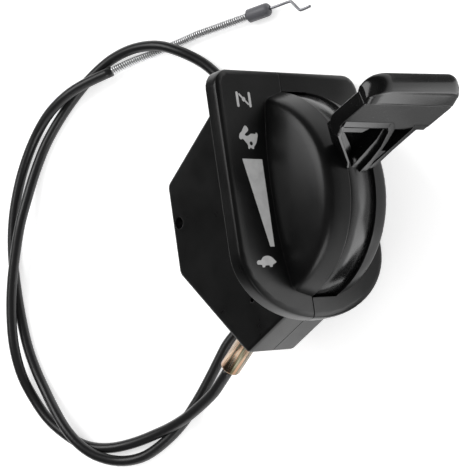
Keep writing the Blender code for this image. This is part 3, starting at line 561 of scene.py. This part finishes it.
# %% [markdown]
# ## Lever: paddle and grip
# The paddle is a flat plate with rounded side lips. The left one runs down past it to a blunt
# foot. The grip is a thick bar across its end. Its section is a closed line, swept across and
# drawn in at both ends. A subdivision surface would lose the crisp lines under the grip.

# %% Lever: paddle and grip
PADDLE_HALF = 0.0255
GRIP_BASE = 0.0800
GRIP_REACH = 0.0934
GRIP_CORNER = 0.0090
GRIP_SKEW = 0.050
GRIP_THINNING = 0.30
END_STEPS = 16
GRIP_SECTION = ((0.0812, -0.0030), (0.0826, -0.0030), (0.0829, -0.0032), (0.0832, -0.0035),
                (0.0838, -0.0040), (0.0842, -0.0042), (0.0846, -0.0043), (0.0884, -0.0031),
                (0.0890, -0.0029), (0.0896, -0.0027), (0.0902, -0.0026), (0.0906, -0.0025),
                (0.0913, -0.0020), (0.0920, -0.0010), (0.0929, 0.0003), (0.0934, 0.0018),
                (0.0935, 0.0033), (0.0931, 0.0045), (0.0925, 0.0054), (0.0916, 0.0060),
                (0.0904, 0.0062), (0.0890, 0.0061), (0.0870, 0.0055), (0.0852, 0.0049),
                (0.0828, 0.0038), (0.0804, 0.0028))


def grip_loop(across):
    past = max(0.0, abs(across) - (PADDLE_HALF - GRIP_CORNER)) / GRIP_CORNER
    reach = GRIP_REACH + GRIP_SKEW * across - GRIP_CORNER * (1 - math.sqrt(max(0.0, 1 - past ** 2)))
    stretch = (reach - GRIP_BASE) / (GRIP_REACH - GRIP_BASE)
    thin = 1 - GRIP_THINNING * past ** 6
    return [BLADE @ Vector((across, GRIP_BASE + (a - GRIP_BASE) * stretch, b * thin)) for a, b in GRIP_SECTION]


straight = PADDLE_HALF - GRIP_CORNER
ends = [straight + GRIP_CORNER * 0.990 * math.sin(math.pi / 2 * i / END_STEPS) for i in range(END_STEPS + 1)]
stations = [-x for x in reversed(ends)] + [straight * k / 4 for k in range(-3, 4)] + ends
grip = skin("lever_grip", [grip_loop(x) for x in stations], [x + PADDLE_HALF for x in stations], 0.036)
shade_softly(grip)


def prism(name, place, outline, low, high, lip=0.0, steps=3):
    """An outline pushed from low to high, each a level or one for every point, with rounded edges."""
    levels = [z if isinstance(z, list) else [z] * len(outline) for z in (low, high)]
    loops = [[place @ Vector((*p, z)) for p, z in zip(outline, level)] for level in levels]
    made = skin(name, loops, [0.0, 0.01], 0.1)
    for face in made.data.polygons:
        face.use_smooth = False
    if lip:
        rounding = made.modifiers.new("rounding", "BEVEL")
        rounding.width = lip
        rounding.segments = steps
        rounding.limit_method = "ANGLE"
        rounding.angle_limit = math.radians(25)
    return made


ALONG_ABOVE = BLADE @ Matrix(((0, 0, 1, 0), (1, 0, 0, 0), (0, 1, 0, 0), (0, 0, 0, 1)))
PLATE = ((0.0640, 0.0028), (0.0640, -0.0033), (0.0822, -0.0033), (0.0822, 0.0030))
plate = prism("lever_paddle", ALONG_ABOVE, PLATE, -PADDLE_HALF + 0.0004, PADDLE_HALF - 0.0004, 0.0003)
FOOT = ((0.0822, 0.0031), (0.0660, 0.0033), (0.0635, 0.0029), (0.0617, 0.0014), (0.0608, -0.0010),
        (0.0606, -0.0034), (0.0611, -0.0053), (0.0624, -0.0060), (0.0640, -0.0054), (0.0658, -0.0036),
        (0.0680, -0.0033), (0.0822, -0.0034))
STUB = ((0.0822, 0.0031), (0.0672, 0.0033), (0.0660, 0.0020), (0.0660, -0.0022), (0.0674, -0.0034),
        (0.0822, -0.0034))
lips = [prism("lever_lip_left", ALONG_ABOVE, FOOT, -PADDLE_HALF - 0.0001, -PADDLE_HALF + 0.0016, 0.0006),
        prism("lever_lip_right", ALONG_ABOVE, STUB, PADDLE_HALF - 0.0016, PADDLE_HALF + 0.0001, 0.0006)]
for piece in lips:
    shade_softly(piece)
print("grip stations", len(stations))

# %% [markdown]
# ## Lever: stem
# Between drum and paddle the moulding is cored out from below, as thick plastic would sink.
# What is left is a web of ribs: a band under the paddle, a middle strut that turns down from it
# in a round corner, two flaring side walls and a back. Each is a prism on the stem's sloping
# front plane, given in millimetres by its outline across and up that plane, and by its depths.

# %% Lever: stem
STEM_FOOT = Vector((0.0, 0.0018, 0.0455))
STEM_HEAD = Vector((0.0, 0.0183, 0.0671))
up_stem = (STEM_HEAD - STEM_FOOT).normalized()
out_stem = Vector((0.0, -up_stem.z, up_stem.y))
STEM_TURN = Matrix((Vector((1, 0, 0)), up_stem, out_stem)).transposed().to_4x4()
STEM = LEVER @ Matrix.Translation(STEM_FOOT) @ STEM_TURN
TOP_AT_FOOT, TOP_SLOPE = 15.9, 0.382
LEAST_DEPTH = 1.4
DOME_TOP, DRUM_INSIDE, SLOT_HALF = 0.0471, 0.0457, 0.0069
HUB = ((-HUB_HALF, DOME_TOP), (-SLOT_HALF, DOME_TOP), (-SLOT_HALF, DRUM_INSIDE),
       (SLOT_HALF, DRUM_INSIDE), (SLOT_HALF, DOME_TOP), (HUB_HALF, DOME_TOP))


def rib(name, outline, near, far, lip=0.0003):
    """A prism that stops under the paddle's top and is cut clear of the drum and the domes."""
    points = [(x / 1000, y / 1000) for x, y in outline]
    back = [min(far, TOP_AT_FOOT - TOP_SLOPE * y) for _, y in outline]
    front = [min(near, b - LEAST_DEPTH) for b in back]
    made = prism("lever_" + name, STEM, points, [-b / 1000 for b in back], [-f / 1000 for f in front], lip, 2)
    cut(made, turned("rib_clearance", HUB, 180, LEVER, ring=False), "DIFFERENCE")
    shade_softly(made)
    return made


corner = [(1.8 + 3.6 * math.cos(a), 22.8 + 3.8 * math.sin(a)) for a in (math.pi / 2 * i / 8 for i in range(9))]
ribs = [
    rib("band_left", [(-24.9, 23.8), (1.6, 23.8), (1.6, 26.8), (-24.9, 26.8)], 0.0, 7.0),
    rib("strut", [(-5.2, -0.6), (3.4, -0.6), (4.4, 9.0), (5.2, 17.0), (5.0, 24.0), (0.2, 24.0),
        (0.8, 22.4), (0.6, 17.0), (-2.0, 9.0)], 1.8, 11.0),
    rib("strut_face", [(-0.6, -0.6), (3.6, -0.6), (4.6, 9.0), (5.5, 17.0), *corner, (0.2, 26.7),
        (1.2, 23.9), (2.6, 22.0), (3.4, 14.0), (2.2, 7.6)], 0.0, 3.0, 0.0002),
    rib("band_right", [(16.4, 24.8), (24.9, 24.8), (24.9, 27.4), (16.4, 27.4)], 0.4, 7.0),
    rib("wall_right", [(3.0, -0.6), (6.8, -0.6), (13.2, 12.4), (19.3, 22.6), (24.7, 25.2),
        (17.0, 26.9), (16.4, 22.6), (9.8, 10.8)], 0.9, 12.0),
    rib("block", [(2.0, -0.6), (6.6, -0.6), (11.4, 10.9), (3.6, 10.9)], 1.4, 12.0),
    rib("wall_left", [(-6.9, -0.6), (-5.7, -0.6), (-8.8, 5.5), (-22.0, 18.6), (-23.4, 24.0),
        (-24.9, 24.0), (-24.4, 19.0), (-9.9, 5.0)], 0.5, 12.0, 0.0002),
    rib("wall_left_step", [(-5.9, -0.6), (-3.6, -0.6), (-5.8, 9.0), (-16.2, 18.0), (-16.4, 19.2),
        (-22.2, 19.2), (-8.9, 5.0)], 6.0, 12.0, 0.0002),
    rib("shelf", [(-24.0, 19.3), (-9.0, 19.3), (-4.6, 22.4), (0.8, 22.4), (0.8, 24.6), (-24.0, 24.6)],
        2.6, 12.0, 0.0002),
    rib("back", [(-6.8, -0.6), (6.8, -0.6), (13.4, 12.4), (24.4, 25.0), (24.4, 27.0), (-24.4, 27.0),
        (-24.4, 20.0), (-9.8, 5.0)], 9.6, 12.2, 0.0),
]
lever_pieces = [drum, cover, grip, plate, *lips, *ribs]
for piece in lever_pieces:
    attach(piece, "lever")
    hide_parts("throttle_lever")
print("lever pieces", len(lever_pieces))

# %% [markdown]
# ## Control marks
# The bezel carries four generic marks in light grey print: the choke sign, a hare for fast, a
# wedge for speed, and a tortoise for slow. Print is a thin film, so each mark is a flat outline
# a few hundredths of a millimetre thick, laid just proud of the plastic.

# %% Control marks
PRINT_LIFT = 0.00004


def smooth_outline(points, fine=6):
    """A closed smooth line through the points."""
    ring = [Vector((x, y, 0.0)) for x, y in points]
    count = len(ring)
    out = []
    for i in range(count):
        a, b, c, d = (ring[(i + k) % count] for k in (-1, 0, 1, 2))
        for k in range(fine):
            t = k / fine
            bend = 2 * b + (c - a) * t + (2 * a - 5 * b + 4 * c - d) * t * t
            out.append(0.5 * (bend + (3 * b - a - 3 * c + d) * t ** 3))
    return [(p.x, p.y) for p in out]


def in_box(points, left, right, low, high):
    return [(left + x * (right - left), low + y * (high - low)) for x, y in points]


def bar(x0, y0, x1, y1, half):
    """A straight stroke with round ends."""
    away = math.atan2(y1 - y0, x1 - x0)
    points = []
    for cx, cy, start in ((x1, y1, away - math.pi / 2), (x0, y0, away + math.pi / 2)):
        for i in range(9):
            a = start + math.pi * i / 8
            points.append((cx + half * math.cos(a), cy + half * math.sin(a)))
    return points


def disc(x, y, radius):
    return [(x + radius * math.cos(math.pi * i / 12), y + radius * math.sin(math.pi * i / 12)) for i in range(24)]


HARE = ((0.02, 0.50), (0.09, 0.42), (0.20, 0.44), (0.30, 0.34), (0.41, 0.20), (0.41, 0.07), (0.47, 0.03),
        (0.53, 0.09), (0.62, 0.05), (0.70, 0.04), (0.72, 0.12), (0.86, 0.28), (0.94, 0.46), (0.99, 0.62),
        (0.93, 0.71), (0.86, 0.65), (0.66, 0.66), (0.50, 0.58), (0.38, 0.57), (0.34, 0.64), (0.52, 0.78),
        (0.52, 0.90), (0.41, 0.99), (0.30, 0.90), (0.19, 0.75), (0.08, 0.66))
TORTOISE = ((0.00, 0.42), (0.04, 0.27), (0.14, 0.26), (0.24, 0.22), (0.27, 0.03), (0.37, 0.02), (0.43, 0.16),
            (0.61, 0.16), (0.65, 0.04), (0.76, 0.03), (0.80, 0.20), (0.90, 0.30), (1.00, 0.44), (0.92, 0.64),
            (0.80, 0.86), (0.63, 0.99), (0.47, 0.98), (0.33, 0.86), (0.23, 0.64), (0.14, 0.64), (0.04, 0.58))
hare = smooth_outline(in_box(HARE, -35.6, -24.7, 18.8, 29.4))
tortoise = smooth_outline(in_box(TORTOISE, -35.7, -24.8, -31.3, -26.4))
MARKS = {
    "choke_left": [bar(-33.2, 43.3, -33.2, 37.9, 0.66)],
    "choke_right": [bar(-26.4, 43.3, -26.4, 37.9, 0.66)],
    "choke_stroke": [bar(-31.9, 42.8, -30.5, 41.4, 0.42)],
    "choke_tail": [bar(-29.0, 40.0, -27.5, 38.6, 0.42)],
    "choke_dot": [disc(-29.75, 40.7, 1.0)],
    "hare": [hare, disc(-29.1, 21.6, 0.85)],
    "wedge": [[(-35.4, 15.0), (-26.9, -22.6), (-24.5, -22.6), (-24.3, 14.8)]],
    "tortoise": [tortoise],
}


def printed(name, outlines):
    """A flat outline, with any holes in it, as a thin film on the bezel."""
    curve = bpy.data.curves.new(name, "CURVE")
    curve.dimensions = "2D"
    curve.fill_mode = "BOTH"
    curve.extrude = 0.00001
    for outline in outlines:
        spline = curve.splines.new("POLY")
        spline.points.add(len(outline) - 1)
        for knot, (x, y) in zip(spline.points, outline):
            knot.co = (x / 1000, y / 1000, 0.0, 1.0)
        spline.use_cyclic_u = True
    drawn = bpy.data.objects.new(name + "_drawn", curve)
    bpy.context.scene.collection.objects.link(drawn)
    bpy.context.view_layer.update()
    mesh = bpy.data.meshes.new_from_object(drawn.evaluated_get(bpy.context.evaluated_depsgraph_get()))
    bpy.data.objects.remove(drawn, do_unlink=True)
    mesh.transform(HOUSING @ Matrix.Translation((0, 0, PRINT_LIFT)))
    mark = bpy.data.objects.new("mark_" + name, mesh)
    bpy.context.scene.collection.objects.link(mark)
    return mark


marks = [printed(name, outlines) for name, outlines in MARKS.items()]
for mark in marks:
    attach(mark, "housing")
print("marks:", [m.name for m in marks])

# %% [markdown]
# ## Moulded skin
# Moulded plastic is never quite even. A spark-eroded mould leaves a fine grain, and the flow of
# the plastic leaves broad, faint clouds of gloss. One group gives both: a height for the bump
# and a cloud value from 0 to 1.

# %% Moulded skin
moulded_skin, ins, outs = new_group(
    "moulded_skin",
    {"Grain Size": ("NodeSocketFloat", 2600.0), "Cloud Size": ("NodeSocketFloat", 60.0)},
    {"Height": "NodeSocketFloat", "Cloud": "NodeSocketFloat"},
)
where = add(moulded_skin, "ShaderNodeTexCoord", {}).outputs["Object"]
cloud = noise_of(moulded_skin, where, ins["Cloud Size"], 4.0, 0.6, 0.4)
fit(moulded_skin, outs, {"Height": noise_of(moulded_skin, where, ins["Grain Size"], 3.0, 0.55),
                         "Cloud": masked(moulded_skin, cloud, 0.3, 0.7)})
print("group:", moulded_skin.name)

# %% [markdown]
# ## Soft edges
# No moulded or pressed edge is a knife edge. The Bevel node bends the normal near an edge as if
# it were rounded, and where that differs from the plain normal, an edge is near. The group puts
# out both: the softened normal, and an edge mask, which the plastics use for a painted highlight
# along edges, with some rubbed wear.

# %% Soft edges
soft_edges, ins, outs = new_group(
    "soft_edges", {"Radius": ("NodeSocketFloat", 0.0004)}, {"Normal": "NodeSocketVector", "Edge": "NodeSocketFloat"})
bevel = add(soft_edges, "ShaderNodeBevel", {"Radius": ins["Radius"]}, samples=8).outputs["Normal"]
plain = add(soft_edges, "ShaderNodeNewGeometry", {}).outputs["Normal"]
facing = add(soft_edges, "ShaderNodeVectorMath", {0: bevel, 1: plain}, operation="DOT_PRODUCT").outputs["Value"]
fit(soft_edges, outs, {"Normal": bevel, "Edge": masked(soft_edges, facing, 0.998, 0.80)})
print("group:", soft_edges.name)

# %% [markdown]
# ## Handling marks
# A part that has been packed and handled has hair-fine scratches. Two noises, each stretched a
# long way in its own direction and cut off high, give short faint lines that cross.

# %% Handling marks
handling, ins, outs = new_group("handling_marks", {"Size": ("NodeSocketFloat", 90.0)}, {"Mask": "NodeSocketFloat"})
where = add(handling, "ShaderNodeTexCoord", {}).outputs["Object"]
HAIR_WAYS = (((0.3, 0.9, 0.4), (1.0, 26.0, 26.0)), ((1.1, 0.2, 1.9), (30.0, 1.0, 30.0)))
lines = []
for turn, stretch in HAIR_WAYS:
    laid_over = add(handling, "ShaderNodeMapping", {"Vector": where, "Rotation": turn, "Scale": stretch})
    hairs = noise_of(handling, laid_over.outputs["Vector"], ins["Size"], 2.0)
    lines.append(masked(handling, hairs, 0.66, 0.74))
fit(handling, outs, {"Mask": worked(handling, "MAXIMUM", *lines)})
print("group:", handling.name)

# %% [markdown]
# ## Plastics
# The shells are satin black with a fine grain, the lever is smoother and glossier, the cap is a
# mid grey and the washer is natural white. All are made the same way from the three groups, with
# their own values: the cloud and the scratches change the gloss, and edges are a little paler,
# which is a painted highlight along the rims, with some rubbed wear.

# %% Plastics
EDGE_HIGHLIGHT_AND_WEAR = 0.45
CLOUD_SHARE = 0.22


def gloss_of(tree, cloud, rubs, roughness, scuffs):
    """The roughness, changed by a broad cloud and by fine scratches."""
    return worked(tree, "MULTIPLY_ADD", rubs["Mask"], scuffs, spread(tree, cloud, *roughness))


def moulded_plastic(name, colour, pale, roughness, grain_size, grain_depth, edge, scuffs, shine=0.5):
    coat, tree, shader = finish_of(name, colour, roughness)
    skin_of = use(tree, moulded_skin, {"Grain Size": grain_size, "Cloud Size": 55.0})
    edges = use(tree, soft_edges, {"Radius": edge})
    rubs = use(tree, handling, {"Size": 85.0})
    clouds = spread(tree, skin_of["Cloud"], 0.0, CLOUD_SHARE)
    # Paler edges are a painted highlight along the rims, with some rubbed wear; the clouds are random tone.
    fit(tree, shader, {
        "Specular IOR Level": shine,
        "Base Color": mixed(tree, worked(tree, "MULTIPLY_ADD", edges["Edge"], EDGE_HIGHLIGHT_AND_WEAR, clouds), colour, pale),
        "Roughness": gloss_of(tree, skin_of["Cloud"], rubs, (roughness - 0.03, roughness + 0.05), scuffs),
        "Normal": bumped(tree, skin_of["Height"], grain_depth, 0.00003, edges["Normal"]),
    })
    return coat


shell_plastic = moulded_plastic("shell_plastic", (0.0035, 0.0035, 0.0036), (0.014, 0.014, 0.014),
                                0.30, 3200.0, 0.50, 0.00045, 0.07, 0.36)
lever_plastic = moulded_plastic("lever_plastic", (0.0030, 0.0030, 0.0031), (0.012, 0.012, 0.012),
                                0.20, 1500.0, 0.06, 0.00035, 0.08)
cap_plastic = moulded_plastic("cap_plastic", (0.125, 0.125, 0.137), (0.20, 0.20, 0.215),
                              0.42, 5200.0, 0.30, 0.00020, 0.05)
washer_plastic = moulded_plastic("washer_plastic", (0.70, 0.68, 0.62), (0.78, 0.76, 0.70),
                                 0.50, 5200.0, 0.20, 0.00015, 0.04)
print("plastics ready")

# %% [markdown]
# ## Sheath plastic
# The sheath is extruded, so its faint lines run along it, and the wound liner under the thin
# plastic shows as the slightest ripple. Both read the UV map that the sweep wrote: one way is
# round the tube and the other is along it, in metres.

# %% Sheath plastic
sheath_plastic, tree, shader = finish_of("sheath_plastic", (0.010, 0.010, 0.0105), 0.34)
streaks = noise_of(tree, along_piece(tree, (2400.0, 18.0, 1.0)), 1.0, 3.0)
ripple = add(tree, "ShaderNodeTexWave", {"Vector": along_piece(tree), "Scale": 150.0, "Distortion": 0.6},
             bands_direction="Y").outputs["Fac"]
dusty = use(tree, moulded_skin, {"Grain Size": 900.0, "Cloud Size": 34.0})
fit(tree, shader, {
    "Base Color": mixed(tree, spread(tree, streaks, 0.0, 0.7), (0.0085, 0.0085, 0.009), (0.017, 0.017, 0.0175)),
    "Roughness": spread(tree, dusty["Cloud"], 0.29, 0.41),
    "Normal": bumped(tree, worked(tree, "MULTIPLY_ADD", ripple, 0.55, streaks), 0.30, 0.00004),
})
print("material:", sheath_plastic.name)

# %% [markdown]
# ## Metals
# Bright zinc on the conduit and fasteners, drawn spring steel for the wires, and yellow zinc on
# the ferrule. Bare metal gets nearly all its colour from what it mirrors, so its roughness and
# the fine lines of its making matter most.

# %% Metals
def plated_metal(name, colour, dull, roughness, edge=0.00015, metallic=1.0):
    coat, tree, shader = finish_of(name, colour, roughness, metallic)
    plating = use(tree, moulded_skin, {"Grain Size": 2400.0, "Cloud Size": 140.0})
    edges = use(tree, soft_edges, {"Radius": edge})
    rubs = use(tree, handling, {"Size": 120.0})
    fit(tree, shader, {
        "Base Color": mixed(tree, plating["Cloud"], colour, dull),
        "Roughness": gloss_of(tree, plating["Cloud"], rubs, (roughness - 0.05, roughness + 0.07), 0.10),
        "Normal": bumped(tree, plating["Height"], 0.25, 0.00002, edges["Normal"]),
    })
    return coat


bright_zinc = plated_metal("bright_zinc", (0.66, 0.66, 0.67), (0.52, 0.52, 0.53), 0.27)
spring_wire = plated_metal("spring_wire", (0.36, 0.36, 0.38), (0.26, 0.26, 0.28), 0.30)
wound_zinc = plated_metal("wound_zinc", (0.46, 0.46, 0.47), (0.38, 0.38, 0.39), 0.30, 0.00002, 0.75)

# The wound wire's colour is painted light: a painted highlight along the crest of each turn and painted shade between
# the turns.
tree = wound_zinc.node_tree
ways = add(tree, "ShaderNodeSeparateXYZ", {"Vector": along_piece(tree)})
turn_share = worked(tree, "MULTIPLY_ADD", ways.outputs["X"], 1 / (2 * math.pi * COIL_WIRE), -0.5)
painted_crest_and_gap_shade = masked(tree, worked(tree, "ABSOLUTE", turn_share), 0.24, 0.40)
fit(tree, tree.nodes["Principled BSDF"], {"Base Color": mixed(tree, painted_crest_and_gap_shade, (0.13, 0.13, 0.132), (0.86, 0.86, 0.87))})
print("metals ready")

# %% [markdown]
# ## Yellow zinc
# Chromated zinc is faintly rainbow coloured, and the straw, copper and dark olive streaks that run
# along the ferrule are partly that tint and partly a painted reflection of bright and dark bands.
# A ramp over noise that is long in the ferrule's direction gives the streaks, and fine turning lines run round it.

# %% Yellow zinc
TINT_AND_PAINTED_BANDS = ((0.32, (0.58, 0.54, 0.43)), (0.43, (0.60, 0.42, 0.28)), (0.50, (0.46, 0.27, 0.17)),
        (0.58, (0.12, 0.11, 0.06)), (0.68, (0.50, 0.46, 0.34)))


def fill_ramp(ramp, stops):
    for place, _ in stops[1:-1]:
        ramp.elements.new(place)
    for stop, (place, colour) in zip(ramp.elements, stops):
        stop.position = place
        stop.color = (*colour, 1.0)


yellow_zinc, tree, shader = finish_of("yellow_zinc", (0.55, 0.47, 0.34), 0.20, metallic=1.0)
# The ramp's streaks are partly the film's tint and partly a painted reflection of bright and dark bands.
film = noise_of(tree, along_piece(tree, (330.0, 22.0, 1.0)), 1.0, 3.0)
tint_and_band_ramp = add(tree, "ShaderNodeValToRGB", {"Fac": film})
fill_ramp(tint_and_band_ramp.color_ramp, TINT_AND_PAINTED_BANDS)
tooling = noise_of(tree, along_piece(tree, (30.0, 3200.0, 1.0)), 1.0, 2.0)
fit(tree, shader, {"Base Color": tint_and_band_ramp.outputs["Color"], "Roughness": spread(tree, tooling, 0.16, 0.28),
                   "Normal": bumped(tree, tooling, 0.04, 0.00002)})
print("material:", yellow_zinc.name)

# %% [markdown]
# ## Print
# The marks are pad printed. The ink is matt, a shade short of white, and a little thin in places.

# %% Print
mark_ink, tree, shader = finish_of("mark_ink", (0.56, 0.56, 0.555), 0.55)
ink = use(tree, moulded_skin, {"Grain Size": 2600.0, "Cloud Size": 260.0})
fit(tree, shader, {"Base Color": mixed(tree, ink["Cloud"], (0.60, 0.60, 0.595), (0.50, 0.50, 0.50)),
                   "Normal": bumped(tree, ink["Height"], 0.2, 0.00001)})
print("material:", mark_ink.name)

# %% [markdown]
# ## Dressing the pieces
# Each CAD piece that shows keeps its shape and takes its finish here, and so do the pieces that
# this scene made.

# %% Dressing the pieces
FINISHES = {
    "left_shell": shell_plastic, "right_shell": shell_plastic,
    "pivot_sleeve": bright_zinc, "pivot_bolt": bright_zinc, "pivot_washer": bright_zinc, "pivot_nut": bright_zinc,
    "housing_screw_1": bright_zinc, "housing_screw_2": bright_zinc, "housing_screw_3": bright_zinc,
    "friction_washer": washer_plastic, "wave_washer": spring_wire, "control_wire": spring_wire,
}
for name, coat in FINISHES.items():
    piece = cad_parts[name]
    for place in piece.material_slots:
        place.material = coat
OWN_FINISHES = [(sheath, sheath_plastic), (conduit, wound_zinc), (cap, cap_plastic), (hook, spring_wire),
                (ferrule, yellow_zinc)]
OWN_FINISHES += [(piece, lever_plastic) for piece in lever_pieces] + [(mark, mark_ink) for mark in marks]
for piece, coat in OWN_FINISHES:
    piece.data.materials.clear()
    piece.data.materials.append(coat)
print("dressed", len(FINISHES), "CAD pieces")

# %% [markdown]
# ## Floor
# A plain pale floor. Its own colour is lit by the lamps, so the object's soft shadow falls on
# it. A little glow, seen only by the camera and by reflections, lifts the rest of it to white.

# %% Floor
FLOOR_HALF = 4.0
FLOOR_LEVEL = -0.00005
FLOOR_GLOW = 0.55


def flat_sheet(name, low, high, level):
    (x0, y0), (x1, y1) = low, high
    return new_piece(name, [(x0, y0, level), (x1, y0, level), (x1, y1, level), (x0, y1, level)], [(0, 1, 2, 3)],
                     smooth=False)


floor = flat_sheet("floor", (-FLOOR_HALF, -FLOOR_HALF), (FLOOR_HALF, FLOOR_HALF), FLOOR_LEVEL)
pale, tree, shader = finish_of("pale_floor", (0.82, 0.82, 0.82), 0.9)
seen = add(tree, "ShaderNodeLightPath", {}).outputs
by_eye = worked(tree, "MAXIMUM", seen["Is Camera Ray"], seen["Is Glossy Ray"])
by_eye = worked(tree, "MAXIMUM", by_eye, seen["Is Transmission Ray"])
fit(tree, shader, {"Emission Color": (1.0, 1.0, 1.0, 1.0), "Specular IOR Level": 0.0,
                   "Emission Strength": worked(tree, "MULTIPLY", by_eye, FLOOR_GLOW)})
floor.data.materials.append(pale)
print("floor laid")

# %% [markdown]
# ## Light
# A small product on white is lit by large soft lamps, and what black plastic shows is mostly
# their reflection. One large lamp stands high at the back left, and a weaker one low at the
# front. The room is white low down at the right and dims overhead and to the left, which leaves
# the upward faces dark and their edges bright.
#
# Cards lie round the housing on the floor, as a photographer lays white and black ones out of
# sight. Here only reflections see them: a bright one for the drum's long highlight, a fading one
# for the bezel, and darker ones under the paddle and beside the drum, which are painted shadow:
# they put the floor's shade near the housing into the reflections.

# %% Light
def soft_lamp(name, place, size, power):
    lamp = bpy.data.objects.new(name, bpy.data.lights.new(name, "AREA"))
    lamp.data.shape = "RECTANGLE"
    lamp.data.size, lamp.data.size_y = size
    lamp.data.energy = power
    lamp.location = place
    lamp.rotation_euler = (Vector((0.0, 0.0, 0.02)) - Vector(place)).to_track_quat("-Z", "Y").to_euler()
    bpy.context.scene.collection.objects.link(lamp)


soft_lamp("key_lamp", (-0.75, 0.65, 1.25), (0.90, 0.90), 11.0)
soft_lamp("front_lamp", (0.35, -1.30, 0.75), (0.9, 0.5), 6.0)
CARD_LEVEL = 0.0001
CARDS = {
    "bright_card": ((0.044, -0.120), (0.170, -0.038), (4.2, 2.6)),
    "fading_card": ((0.090, -0.038), (0.240, 0.055), (3.2, 1.2)),
    # Painted shadow: the dark and grey cards stand for the floor's shade in front of, under and beside the housing.
    "painted_shadow_card": ((0.008, -0.130), (0.044, -0.050), (0.05, 0.05)),
    "painted_shade_card": ((-0.030, -0.050), (0.044, 0.030), (0.58, 0.58)),
    "painted_shade_card_right": ((0.044, -0.038), (0.090, 0.045), (0.50, 0.40)),
    "dim_card": ((0.030, 0.055), (0.300, 0.160), (0.3, 0.2)),
}
for name, (low, high, glow) in CARDS.items():
    card = flat_sheet(name, low, high, CARD_LEVEL)
    for ray in ("camera", "diffuse", "shadow", "transmission", "volume_scatter"):
        setattr(card, "visible_" + ray, False)
    coat, tree, shader = finish_of(name, (0.0, 0.0, 0.0), 1.0)
    spot = add(tree, "ShaderNodeTexCoord", {}).outputs["Object"]
    axes = add(tree, "ShaderNodeSeparateXYZ", {"Vector": spot}).outputs
    fit(tree, shader, {"Emission Strength": masked(tree, axes["Y"], low[1], high[1], *glow),
                       "Emission Color": (1.0, 1.0, 1.0, 1.0), "Specular IOR Level": 0.0})
    card.data.materials.append(coat)

SKY = ((0.0, 1.0), (0.10, 0.8), (0.24, 0.10), (0.70, 0.05), (1.0, 0.16))
LEFT_DIMMING = 0.22
ROOM_FILL = 0.62
world = bpy.data.worlds.new("room")
bpy.context.scene.world = world
world.use_nodes = True
tree = world.node_tree
way = add(tree, "ShaderNodeTexCoord", {}).outputs["Generated"]
parts = add(tree, "ShaderNodeSeparateXYZ", {"Vector": way}).outputs
up = add(tree, "ShaderNodeValToRGB", {"Fac": parts["Z"]})
fill_ramp(up.color_ramp, [(place, (level,) * 3) for place, level in SKY])
sideways = masked(tree, parts["X"], -0.5, 0.1, LEFT_DIMMING, 1.0)
dimmed = mixed(tree, sideways, (0.0, 0.0, 0.0), up.outputs["Color"])
seen = add(tree, "ShaderNodeLightPath", {}).outputs
room = mixed(tree, seen["Is Diffuse Ray"], dimmed, (ROOM_FILL,) * 3)
fit(tree, tree.nodes["Background"], {"Color": room, "Strength": 1.0})
bpy.context.scene.view_settings.view_transform = "Standard"
print("lamps, cards and room ready")
